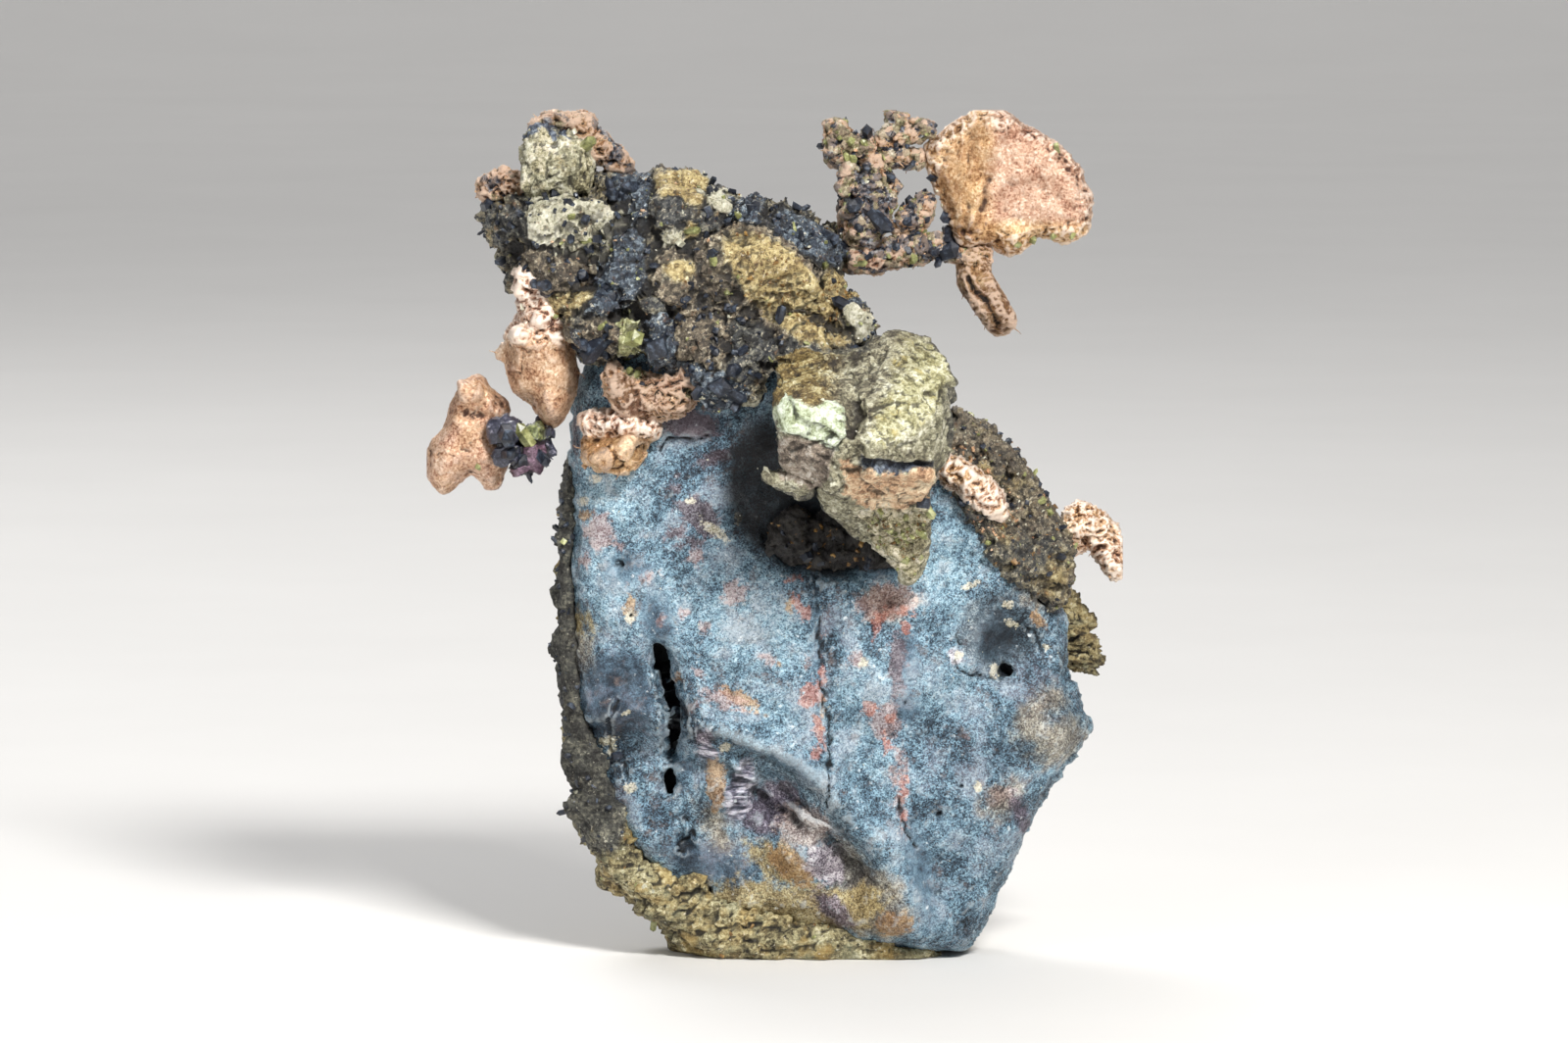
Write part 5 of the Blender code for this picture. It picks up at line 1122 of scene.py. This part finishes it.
def copper_relief(skin, rough):
    """Jagged points and chips of copper, coarse or fine."""
    points = bent(skin.points, 0.9, 0.25, 84)
    hackly = 0.62 * layered(points * (1.0, 1.0, 1.5), 1.5, 115, 4, 0.68, ridged=True)
    hackly += 0.16 * facets(points, 0.7, 117, 1.8)
    skin.push(0.18 * layered(points, 2.8, 111, 3) + rough * hackly + 0.035 * layered(points, 0.5, 119, 2))
    skin.fields["hackly"] = np.ones(len(points)) * rough
    skin.fields["gold"] = 0.9 * layered(skin.points, 3.0, 113, 2)


def hackly_relief(skin):
    """Copper that grew as a tangle of points."""
    copper_relief(skin, 1.0)


def beaded(skin, size, height, seed):
    """Raises small round beads, and returns a chance value from 0 to 1 for each bead."""
    near, _, home = cells(bent(skin.points, 1.0, 0.2, seed), size, seed)
    skin.push(height * (np.sqrt(np.clip(1 - near**2, 0, 1)) - 0.6))
    return lattice(home, seed + 9)


def arm_relief(skin):
    """The thin arms: copper nearly hidden by beads of blue-black, yellow-green and cream minerals."""
    copper_relief(skin, 0.75)
    x, v, _ = skin.front()
    bead = beaded(skin, 0.75, 0.30, 191)
    blue = 0.30 + 0.50 * np.clip(ellipse_field(x, v, ARM_BLUE) + 0.5, 0, 1)
    green = blue + (1 - blue) * (0.42 + 0.45 * np.clip(ellipse_field(x, v, ARM_GREEN) + 0.5, 0, 1))
    skin.fields["blue"] = np.where(bead < blue, 0.5, -0.6)
    skin.fields["green"] = np.where((bead >= blue) & (bead < green), 0.5, -0.6)
    skin.fields["cream"] = np.where(bead > 0.93, 0.5, -0.6)


def tuft_relief(skin):
    """Jagged copper with dark minerals in its hollows."""
    copper_relief(skin, 1.0)
    skin.fields["blue"] = 1.1 * layered(skin.points, 1.8, 112, 2) - 0.35
    skin.fields["green"] = 1.1 * layered(skin.points, 1.5, 114, 2) - 0.5


def wing_relief(skin):
    """The wing: a crumpled pale copper fan beside a brown-red ribbed blade."""
    x, v, facing = skin.front()
    blade = np.clip((-13.6 - x - 0.35 * (v - 58.0)) / 0.6, 0, 1) * facing
    ribs = layered(skin.points * (1.0, 1.0, 0.22), 0.7, 177, 2, ridged=True)
    copper_relief(skin, 1.0 - 0.6 * blade)
    skin.push(0.14 * blade * ribs)
    skin.fields["fold"] = 0.8 * blade
    skin.fields["green"] = ellipse_field(x, v, ((-14.4, 59.8, 1.2, 0.8, 0), (-9.0, 57.6, 0.6, 0.5, 0)))


def nodule_relief(skin):
    """The nodule: jagged pink copper on top, smooth golden copper below."""
    x, v, _ = skin.front()
    copper_relief(skin, np.clip((v - 61.5) / 2.0, 0.12, 0.9))
    skin.push(0.15 * facets(skin.points, 3.0, 179))
    skin.fields["gold"] = np.clip((63.0 - v) / 2.0, -1, -0.1)


def leaf_relief(skin):
    """The large leaf: folds run down it, and it is finely ribbed on the left and frosted on the right."""
    x, v, facing = skin.front()
    fold = np.zeros(len(x))
    for number, path in enumerate(LEAF_FOLDS):
        away = path_distance(x + 0.3 * noise(skin.points / 1.0, 171 + number), v, path)
        fold = np.maximum(fold, 0.7 * np.clip(1.2 - away / 0.6, 0, 1))
    ribs = 0.12 * layered(skin.points * (1.0, 1.0, 0.25), 0.8, 171, 3, ridged=True) * np.clip((22 - x) / 2, 0.2, 1)
    rim = np.clip(1.2 - outline_field(x, v, LEAF_FACE) + 0.6 * noise(skin.points / 1.2, 175), 0, 1)
    copper_relief(skin, 0.10 + 0.55 * rim)
    skin.push((ribs - 0.30 * fold) * facing)
    film = 0.32 + 0.5 * layered(skin.points, 1.8, 177, 4, 0.6) + 0.3 * np.clip((24 - x) / 6, 0, 1)
    skin.fields["fold"] = np.maximum(fold * facing, film)
    left = np.clip((21.6 - x) / 1.5, -1, 1)
    skin.fields["gold"] = np.maximum(left, np.clip((75.0 - v) / 1.0, -1, 1)) + 0.5 * layered(skin.points, 3.0, 173, 2)


def knob_relief(skin):
    """The knob: crumpled pale foil on top, with broad golden faces below."""
    x, v, _ = skin.front()
    skin.push(0.6 * facets(skin.points, 2.2, 175) * np.clip((53.6 - v) / 0.8, 0, 1))
    copper_relief(skin, np.clip((v - 52.6) / 1.0, 0.12, 1.1))
    skin.fields["gold"] = np.clip((53.4 - v) / 1.0, -1, 1)


def twig_relief(skin):
    """The hanging twig: tangled pink copper on top, smooth olive-brown lobes below, and a dark groove."""
    x, v, facing = skin.front()
    copper_relief(skin, np.clip((v - 69.5) / 1.5, 0.35, 1.0))
    groove = np.clip(1.3 - path_distance(x + 0.2 * noise(skin.points, 179), v, TWIG_GROOVE) / 0.4, 0, 1) * facing
    skin.push(-0.35 * groove)
    skin.fields["fold"] = np.maximum(groove, 1.0 * np.clip((69.5 - v) / 1.5, 0.4, 1))
    skin.fields["gold"] = np.full(len(x), 0.9)


def pale_leaf_relief(skin):
    """The small leaf on the left: frosted pink copper with a rough rim."""
    x, v, facing = skin.front()
    recess = np.clip(ellipse_field(x, v, ((-31.6, 55.5, 1.6, 0.7, -10), (-28.0, 57.2, 1.0, 1.8, 10))) + 0.3, 0, 1) * facing
    copper_relief(skin, 0.14 + 0.3 * recess)
    skin.push(0.14 * facets(skin.points, 2.0, 179) - 0.5 * recess)
    # The recesses are tinted brown: brownish copper, and painted shade.
    skin.fields["fold"] = recess
    skin.fields["gold"] = 0.6 * layered(skin.points, 2.0, 113, 2) - 0.4


def boulder_relief(skin):
    """The boulder's broken faces, the streaked groove down its middle and its stains."""
    x, v, facing = skin.front()
    points = bent(skin.points, 1.5, 0.4, 121)
    broken = 0.80 * facets(points, 4.6, 122, 1.0) + 0.36 * facets(points, 1.9, 124) + 0.14 * facets(points, 0.6, 126)
    groove = path_distance(x + 0.3 * noise(points / 1.3, 133), v, GROOVE)
    width = 0.6 + np.clip((v - 53.0) / 8.0, 0, 1) * 2.2
    cut = 0.9 * smooth_step(1 - groove / (1.2 * width)) * np.clip((v - 51.6) / 2, 0, 1)
    for number, path in enumerate(BOULDER_EDGES):
        away = path_distance(x + 0.2 * noise(points, 134 + number), v + 0.2 * noise(points, 144 + number), path)
        cut = np.maximum(cut, 0.45 * np.clip(1 - away / 0.35, 0, 1))
    uneven_x = x + 0.45 * layered(points, 1.8, 154, 3)
    uneven_v = v + 0.45 * layered(points, 1.8, 158, 3)
    faces = {
        "cream": BOULDER_CREAM, "ochre": BOULDER_OCHRE, "purple": BOULDER_PURPLE, "right_face": BOULDER_RIGHT,
        "blue": BOULDER_BLUE, "copper": BOULDER_COPPER, "tail": BOULDER_TAIL,
    }
    for name, outline in faces.items():
        skin.fields[name] = np.where(facing > 0.1, outline_field(uneven_x, uneven_v, outline), -2.0)
    step = 0.35 * np.clip(skin.fields["cream"] / 0.3, 0, 1) - 0.8 * np.clip(skin.fields["blue"] / 0.4, 0, 1)
    crumbs = np.clip(skin.fields["ochre"] + 0.5, 0, 1) * (0.4 * layered(points, 1.2, 123, 4, 0.65) + 0.25 * facets(points, 0.9, 125))
    grains = np.clip(skin.fields["right_face"] + 0.5, 0, 1) * 0.22 * facets(points, 0.8, 127)
    tail = np.clip(2 * skin.fields["tail"], 0, 1)
    skin.push(broken + 0.10 * layered(skin.points, 2.2, 123, 4, 0.65) + (step + crumbs + grains - cut) * facing)
    near, _, _ = cells(points, 1.15, 137)
    skin.push(tail * facing * 0.95 * (np.sqrt(np.clip(1 - near**2, 0, 1)) - 0.5))
    skin.fields["groove"] = np.where(facing > 0.1, np.clip(1.1 - groove / (width + 0.8), -1, 1) * (v > 52.0), -1)
    # Faces turned from the front get the dark side patch: darker stone, and painted shade.
    skin.fields["side"] = 1.5 - 5.0 * facing


def stone_relief(skin):
    """The small stone on top: broken faces and a blue-black upper band."""
    x, v, facing = skin.front()
    points = bent(skin.points, 1.5, 0.4, 141)
    broken = 0.6 * facets(points, 2.4, 142) + 0.35 * facets(points, 1.1, 144) + 0.2 * facets(points, 0.6, 146)
    skin.push(broken + 0.2 * layered(skin.points, 1.4, 143, 4, 0.6))
    skin.fields["ochre"] = 0.8 * layered(points, 2.4, 145, 2) - 0.5
    skin.fields["tail"] = 0.8 * layered(points, 2.0, 147, 2) - 0.2
    skin.fields["blue"] = v - 83.9 + 0.8 * noise(points / 1.2, 149)
    skin.fields["side"] = 0.9 * layered(points, 3.0, 151, 2) - 0.6


def build_skins():
    """Every node's fine surface, in its material."""
    paints = {
        "tarnished_copper": tarnished_copper(), "bright_copper": bright_copper(), "dark_copper": dark_copper(),
        "dark_rock": dark_rock(), "brown_rock": brown_rock(), "pale_stone": pale_stone(), "crystals": cluster_crystal(),
    }
    plan = (
        ("copper_mass", 0.30, 0.25, slab_relief, "tarnished_copper"),
        ("rock_backing", 0.45, 0.35, rock_relief, "brown_rock"),
        ("rock_wedge", 0.18, 0.15, rock_relief, "brown_rock"),
        ("rock_crust", 0.31, 0.3, crust_relief, "dark_rock"),
        ("crust_edge", 0.20, 0.3, edge_relief, "dark_rock"),
        ("pocket_crust", 0.18, 0.3, pocket_relief, "dark_rock"),
        ("boulder", 0.24, 0.2, boulder_relief, "pale_stone"),
        ("stone_cap", 0.17, 0.15, stone_relief, "pale_stone"),
        ("copper_nodule", 0.15, 0.25, nodule_relief, "bright_copper"),
        ("copper_leaf_left", 0.16, 0.2, pale_leaf_relief, "bright_copper"),
        ("copper_knob", 0.14, 0.25, knob_relief, "bright_copper"),
        ("copper_seam", 0.13, 0.4, hackly_relief, "bright_copper"),
        ("copper_leaf_large", 0.16, 0.2, leaf_relief, "bright_copper"),
        ("twig_right", 0.14, 0.2, hackly_relief, "bright_copper"),
        ("copper_tuft", 0.14, 0.2, tuft_relief, "dark_copper"),
        ("copper_beads", 0.14, 0.2, tuft_relief, "dark_copper"),
        ("copper_wing", 0.13, 0.25, wing_relief, "dark_copper"),
        ("arm_lower", 0.14, 0.1, arm_relief, "dark_copper"),
        ("arm_column", 0.14, 0.1, arm_relief, "dark_copper"),
        ("arm_upper", 0.14, 0.1, arm_relief, "dark_copper"),
        ("arm_link", 0.14, 0.1, arm_relief, "dark_copper"),
        ("twig_hanging", 0.13, 0.2, twig_relief, "dark_copper"),
        ("crystal_cluster", 0.14, 0.2, cluster_relief, "crystals"),
    )
    skins = {}
    for node, voxel, grow, relief, slot in plan:
        added = (GROOVE_FACE,) if node == "boulder" else ()
        skin = Skin(node, voxel, grow=grow, added=added)
        relief(skin)
        skin.finish(paints[slot], slot)
        skins[node] = skin
    return skins


# Loose crystals, grains and wires
def prism(sides=6, length=1.5, point=0.45):
    """A crystal one unit across that stands on the origin and ends in a point."""
    ring = [(0.5 * math.cos(math.tau * side / sides), 0.5 * math.sin(math.tau * side / sides)) for side in range(sides)]
    places = [(x, y, -0.4) for x, y in ring] + [(x, y, length) for x, y in ring] + [(0.1, 0.05, length + point)]
    faces = [tuple(range(sides - 1, -1, -1))]
    for side in range(sides):
        after = (side + 1) % sides
        faces.append((side, after, sides + after, sides + side))
        faces.append((sides + side, sides + after, 2 * sides))
    return np.array(places), faces


def chip(seed, count=10):
    """An angular grain about one unit across: the hull of a few scattered points."""
    dice = np.random.default_rng(seed)
    places = dice.normal(size=(count, 3))
    places *= 0.5 / np.linalg.norm(places, axis=1)[:, None] * (0.85, 1.0, 1.15)
    grain = bmesh.new()
    for place in places:
        grain.verts.new(place)
    bmesh.ops.convex_hull(grain, input=list(grain.verts))
    bmesh.ops.recalc_face_normals(grain, faces=list(grain.faces))
    grain.verts.index_update()
    faces = [tuple(vert.index for vert in face.verts) for face in grain.faces]
    places = np.array([tuple(vert.co) for vert in grain.verts])
    grain.free()
    return places, faces


def bead():
    """A small round lump."""
    ball = bmesh.new()
    bmesh.ops.create_icosphere(ball, subdivisions=2, radius=0.5)
    places = np.array([tuple(vert.co) for vert in ball.verts])
    faces = [tuple(vert.index for vert in face.verts) for face in ball.faces]
    ball.free()
    places += 0.05 * noise(places * 4, 9)[:, None] * places
    return places, faces


CHIPS = [chip(seed) for seed in range(7)]
PRISMS = [prism(6, 1.2, 0.5), prism(6, 0.7, 0.4), prism(4, 1.0, 0.3), prism(4, 0.6, 0.1)]
BEADS = [bead()]


def turned(normal, lean, dice):
    """A rotation that sends z nearly along the normal, with a chance lean and spin."""
    axis = normal + lean * dice.normal(size=3)
    axis /= np.linalg.norm(axis)
    side = np.cross(axis, dice.normal(size=3))
    side /= np.linalg.norm(side)
    return np.stack([side, np.cross(axis, side), axis], axis=1)


def seats_on(skin, count, small, large, seed, where=None):
    """Chance places on a skin: (place, normal, size), more often small than large."""
    dice = np.random.default_rng(seed)
    chance = np.ones(len(skin.points)) if where is None else np.clip(where, 0, None)
    if chance.sum() == 0:
        return []
    picked = dice.choice(len(skin.points), count, p=chance / chance.sum())
    normals = skin.normals()
    sizes = small + (large - small) * dice.random(count) ** 2.5
    return [(skin.points[index], normals[index], size) for index, size in zip(picked, sizes)]


def seat_at(skin, x, v, size):
    """The place on a skin that shows at (x, v) from the front."""
    across, up, facing = skin.front()
    cost = np.hypot(across - x, up - v) * 4 + skin.points[:, 1] * 0.5 - facing
    index = int(np.argmin(cost))
    return skin.points[index], skin.normals()[index], size


def scatter(name, shapes, seats, material, seed, lean=0.5, sink=0.25):
    """Many small shapes on their seats, joined into one piece."""
    dice = np.random.default_rng(seed)
    places = []
    faces = []
    start = 0
    for place, normal, size in seats:
        shape, shape_faces = shapes[dice.integers(len(shapes))]
        stretch = dice.uniform(0.75, 1.3, 3)
        points = (shape * size * stretch) @ turned(normal, lean, dice).T + place - normal * size * sink
        places.append(points)
        faces.extend(tuple(corner + start for corner in face) for face in shape_faces)
        start += len(shape)
    points = np.clip(np.concatenate(places), LOW + EDGE, HIGH - EDGE)
    mesh = bpy.data.meshes.new(name)
    mesh.from_pydata((points * MM).tolist(), [], faces)
    mesh.materials.append(material)
    piece = bpy.data.objects.new(name, mesh)
    bpy.context.scene.collection.objects.link(piece)
    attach(piece, "root")
    return piece


def wires(name, seats, material, seed, length=1.6, radius=0.07, sides=5, joints=6):
    """Thin bent wires of copper that start on their seats."""
    dice = np.random.default_rng(seed)
    places = []
    faces = []
    for place, normal, size in seats:
        heading = normal + 0.7 * dice.normal(size=3)
        heading /= np.linalg.norm(heading)
        curl = 0.8 * dice.normal(size=3)
        point = place - 0.2 * normal
        start = len(places)
        for joint in range(joints):
            across = np.cross(heading, (0.3, 0.5, 0.8))
            across /= np.linalg.norm(across)
            other = np.cross(heading, across)
            thickness = radius * (1.15 - 0.75 * joint / (joints - 1))
            for side in range(sides):
                angle = math.tau * side / sides
                places.append(point + thickness * (across * math.cos(angle) + other * math.sin(angle)))
            heading = heading + curl * 0.35 + 0.12 * dice.normal(size=3)
            heading /= np.linalg.norm(heading)
            point = point + heading * length * size / joints
        for joint in range(joints - 1):
            for side in range(sides):
                low = start + joint * sides
                after = (side + 1) % sides
                faces.append((low + side, low + after, low + sides + after, low + sides + side))
        faces.append(tuple(range(start + (joints - 1) * sides, start + joints * sides)))
    points = np.clip(np.array(places), LOW + EDGE, HIGH - EDGE)
    mesh = bpy.data.meshes.new(name)
    mesh.from_pydata((points * MM).tolist(), [], faces)
    mesh.polygons.foreach_set("use_smooth", np.ones(len(mesh.polygons), bool))
    mesh.materials.append(material)
    piece = bpy.data.objects.new(name, mesh)
    bpy.context.scene.collection.objects.link(piece)
    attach(piece, "root")
    return piece


# Single crystals that show in the photograph: the skin they sit on, x, v, size.
GREEN_CRYSTALS = (
    ("rock_crust", -14.8, 62.7, 2.0), ("rock_crust", -8.7, 74.0, 0.9), ("rock_crust", 4.9, 70.2, 0.8),
    ("stone_cap", -19.4, 82.6, 1.0), ("copper_wing", -15.1, 59.9, 0.8), ("copper_wing", -14.2, 59.6, 0.6),
    ("boulder", 12.8, 40.6, 0.9), ("copper_nodule", -21.6, 66.0, 0.6), ("arm_upper", 7.4, 82.9, 0.9),
    ("arm_upper", 8.9, 82.9, 0.8), ("arm_column", 8.4, 81.6, 0.8), ("arm_column", 7.2, 81.4, 0.7),
    ("arm_lower", 13.9, 71.4, 0.8), ("copper_leaf_large", 28.4, 82.4, 0.7), ("copper_leaf_large", 24.5, 72.8, 0.9),
    ("copper_leaf_large", 26.0, 73.2, 0.8), ("copper_leaf_large", 28.2, 73.6, 0.8), ("copper_leaf_large", 30.2, 73.8, 0.7),
    ("copper_leaf_left", -30.6, 50.2, 0.8), ("crystal_cluster", -25.4, 53.0, 1.3), ("rock_backing", -22.0, 42.6, 0.9),
)
PALE_CRYSTALS = (
    ("rock_crust", -9.8, 72.5, 0.7), ("rock_crust", -5.6, 77.4, 0.9), ("stone_cap", -20.8, 84.0, 0.8),
    ("boulder", -1.4, 50.2, 1.0), ("boulder", 5.8, 50.0, 1.0), ("rock_backing", -13.8, 7.1, 1.3),
    ("copper_nodule", -25.9, 66.4, 0.6), ("arm_column", 9.0, 79.0, 0.8), ("copper_leaf_large", 16.3, 78.1, 0.5),
    ("copper_leaf_large", 16.6, 76.7, 0.5), ("copper_mass", -15.2, 17.3, 0.8), ("rock_backing", -20.5, 17.0, 1.0),
)
DARK_CRYSTALS = (
    ("rock_crust", -12.0, 62.4, 2.3), ("rock_crust", -5.8, 58.3, 2.2), ("rock_crust", -4.6, 59.8, 1.7),
    ("rock_crust", -17.7, 62.8, 2.1), ("rock_crust", -14.4, 78.6, 1.9), ("rock_crust", -16.4, 77.9, 1.4),
    ("rock_crust", 5.8, 69.0, 0.9), ("rock_crust", -8.6, 57.6, 1.1), ("copper_wing", -13.7, 58.5, 0.8),
    ("crystal_cluster", -27.6, 53.4, 2.0), ("crystal_cluster", -27.4, 51.6, 1.7), ("crystal_cluster", -25.8, 50.4, 1.5),
    ("crystal_cluster", -24.0, 51.4, 1.5), ("boulder", 14.8, 46.4, 1.4), ("arm_upper", 9.1, 84.0, 1.3),
    ("arm_lower", 15.7, 72.1, 1.0), ("arm_lower", 17.4, 72.2, 1.6), ("arm_column", 8.2, 76.8, 1.7),
    ("arm_column", 9.9, 75.2, 1.6), ("arm_column", 8.2, 74.4, 1.3), ("copper_leaf_large", 16.0, 79.4, 0.9),
    ("copper_leaf_large", 16.6, 75.2, 1.0), ("crust_edge", 17.6, 49.6, 1.2), ("rock_backing", -20.0, 58.0, 1.0),
)


def named_seats(skins, table):
    return [seat_at(skins[node], x, v, size) for node, x, v, size in table]


def facing_of(skin):
    return skin.front()[2]


def grow_crystals(skins):
    """The grains and crystals on every crust, and the wires on the copper."""
    green = crystal_glass("green_crystals", (70, 72, 44), (138, 140, 88), (206, 208, 158))
    pale = crystal_glass("pale_crystals", (128, 124, 104), (196, 194, 172), (240, 240, 228))
    dark = crystal_glass("dark_crystals", (8, 9, 14), (30, 36, 48), (92, 104, 120), 0.36)
    amber = crystal_glass("amber_crystals", (56, 38, 20), (124, 92, 48), (190, 156, 96), 0.3)
    copper = bright_copper()
    copper.name = "copper_grains"
    crust = skins["rock_crust"]
    edge = skins["crust_edge"]
    pocket = skins["pocket_crust"]
    rock = skins["rock_backing"]
    slab = skins["copper_mass"]
    boulder = skins["boulder"]
    arms = [skins[name] for name in ("arm_lower", "arm_column", "arm_upper", "arm_link")]
    jagged = [skins[name] for name in ("copper_wing", "copper_knob", "copper_tuft", "copper_beads", "twig_right")]

    dark_seats = seats_on(crust, 1100, 0.35, 1.3, 201, 1.3 - np.clip(crust.fields["ochre"] + 1, 0, 1.3))
    dark_seats += seats_on(edge, 160, 0.3, 0.9, 202) + seats_on(pocket, 60, 0.3, 0.9, 203)
    dark_seats += seats_on(rock, 240, 0.3, 0.9, 204, rock.fields["dark"] + 0.2)
    green_seats = seats_on(crust, 300, 0.3, 0.8, 211) + seats_on(edge, 90, 0.25, 0.7, 212)
    green_seats += seats_on(boulder, 90, 0.3, 0.7, 213, boulder.fields["tail"] + 0.1)
    green_seats += seats_on(rock, 180, 0.3, 0.8, 214, 0.4 - rock.fields["dark"])
    pale_seats = seats_on(crust, 330, 0.22, 0.6, 221) + seats_on(edge, 110, 0.2, 0.55, 222)
    pale_seats += seats_on(slab, 90, 0.2, 0.5, 223, slab.fields["cream"] + 0.15)
    pale_seats += seats_on(slab, 120, 0.15, 0.35, 224, facing_of(slab) > 0.5)
    pale_seats += seats_on(boulder, 90, 0.2, 0.55, 225) + seats_on(rock, 220, 0.25, 0.6, 226, 0.4 - rock.fields["dark"])
    amber_seats = seats_on(crust, 420, 0.3, 0.8, 231, crust.fields["ochre"] + 0.8) + seats_on(pocket, 90, 0.3, 1.0, 232)
    amber_seats += seats_on(rock, 380, 0.3, 1.0, 233, 0.4 - rock.fields["dark"]) + seats_on(edge, 160, 0.25, 0.8, 234)
    amber_seats += seats_on(boulder, 90, 0.3, 0.7, 235, boulder.fields["tail"] + boulder.fields["ochre"].clip(0, 1))
    copper_seats = seats_on(crust, 110, 0.2, 0.6, 241) + seats_on(edge, 70, 0.2, 0.6, 242)
    for number, item in enumerate((edge, slab)):
        x, v, facing = item.front()
        near_seam = facing * (path_distance(x, v, ((18.0, 50.6), (22.4, 45.4))) < 2.6)
        copper_seats += seats_on(item, 150, 0.25, 0.9, 243 + number, near_seam)
        pale_seats += seats_on(item, 60, 0.25, 0.7, 245 + number, near_seam)
    for number, arm in enumerate(arms):
        dark_seats += seats_on(arm, 70, 0.3, 0.9, 250 + number, arm.fields["blue"] + 0.5)
        green_seats += seats_on(arm, 40, 0.3, 0.8, 260 + number, arm.fields["green"] + 0.5)
        pale_seats += seats_on(arm, 25, 0.2, 0.5, 270 + number)
        copper_seats += seats_on(arm, 60, 0.25, 0.8, 280 + number)
    for number, item in enumerate(jagged):
        copper_seats += seats_on(item, 90, 0.25, 0.8, 290 + number)

    scatter("dark_crystals", CHIPS + PRISMS, dark_seats, dark, 301)
    scatter("green_crystals", CHIPS + PRISMS, green_seats, green, 302)
    scatter("pale_crystals", CHIPS, pale_seats, pale, 303)
    scatter("amber_crystals", CHIPS, amber_seats, amber, 304)
    scatter("copper_grains", CHIPS, copper_seats, copper, 305)
    scatter("large_green_crystals", PRISMS, named_seats(skins, GREEN_CRYSTALS), green, 306, lean=0.4)
    scatter("large_pale_crystals", CHIPS + PRISMS[3:], named_seats(skins, PALE_CRYSTALS), pale, 307)
    scatter("large_dark_crystals", PRISMS + BEADS, named_seats(skins, DARK_CRYSTALS), dark, 308, lean=0.4)

    wire_seats = []
    for number, (node, count) in enumerate((
        ("arm_upper", 26), ("twig_hanging", 22), ("copper_wing", 26), ("copper_knob", 18), ("copper_tuft", 14),
        ("arm_lower", 14), ("twig_right", 10), ("copper_nodule", 12), ("arm_column", 12), ("arm_link", 10),
    )):
        wire_seats += seats_on(skins[node], count, 0.5, 1.1, 320 + number)
    wires("copper_wires", wire_seats, copper, 331)


# Stage
def floor_sheet():
    """A pale floor that curves up into a backdrop."""
    half_width = 3.0
    front = -3.0
    back = 2.4
    bend = 0.8
    profile = [(front, 0.0)]
    for step in range(13):
        angle = math.radians(90 * step / 12)
        profile.append((back - bend + bend * math.sin(angle), bend - bend * math.cos(angle)))
    profile.append((back, 1.8))
    points = [(side * half_width, y, z) for y, z in profile for side in (-1, 1)]
    faces = [(2 * row, 2 * row + 1, 2 * row + 3, 2 * row + 2) for row in range(len(profile) - 1)]
    mesh = bpy.data.meshes.new("floor")
    mesh.from_pydata(points, [], faces)
    mesh.polygons.foreach_set("use_smooth", np.ones(len(faces), bool))
    sheet = bpy.data.objects.new("floor", mesh)
    bpy.context.scene.collection.objects.link(sheet)
    paint = Paint("floor", roughness=0.7)
    shade = paint.ramp(paint.noise(60, detail=3), (0.3, 226, 224, 221), (0.7, 229, 227, 224))
    mesh.materials.append(paint.done(shade))


def area_light(name, place, aim, size, watts, warmth=(1, 1, 1)):
    """A square soft light."""
    data = bpy.data.lights.new(name, "AREA")
    data.size = size
    data.energy = watts
    data.color = warmth
    light = bpy.data.objects.new(name, data)
    light.location = place
    light.rotation_euler = (Vector(aim) - Vector(place)).to_track_quat("-Z", "Y").to_euler()
    bpy.context.scene.collection.objects.link(light)


def camera():
    """The photograph's view: a long lens looking six degrees down."""
    frame_width = 160.0
    sensor = 36.0
    distance = 0.9
    data = bpy.data.cameras.new("camera")
    data.sensor_width = sensor
    data.lens = sensor * distance / (frame_width * MM)
    data.clip_start = 0.05
    item = bpy.data.objects.new("camera", data)
    aim = Vector(world(0.7, 44.6, 2.1) * MM)
    sight = Vector((0, math.cos(LOOK_DOWN), -math.sin(LOOK_DOWN)))
    item.location = aim - distance * sight
    item.rotation_euler = sight.to_track_quat("-Z", "Y").to_euler()
    bpy.context.scene.collection.objects.link(item)
    bpy.context.scene.camera = item


def lights():
    middle = (0, 0, 0.045)
    area_light("key", (0.20, -0.46, 0.46), middle, 0.14, 5.8, (1.0, 0.99, 0.97))
    area_light("fill", (-0.50, -0.50, 0.30), middle, 0.5, 1.15, (0.93, 0.96, 1.0))
    area_light("rim", (-0.25, 0.45, 0.55), middle, 0.3, 1.9)
    area_light("floor_light", (0, 1.4, 1.6), (0, 1.6, 0), 1.4, 11)
    surroundings = bpy.data.worlds.new("studio")
    surroundings.use_nodes = True
    background = surroundings.node_tree.nodes["Background"]
    background.inputs["Color"].default_value = (0.93, 0.95, 1.0, 1)
    background.inputs["Strength"].default_value = 0.17
    bpy.context.scene.world = surroundings
    bpy.context.scene.view_settings.view_transform = "Standard"


grow_crystals(build_skins())
floor_sheet()
lights()
camera()
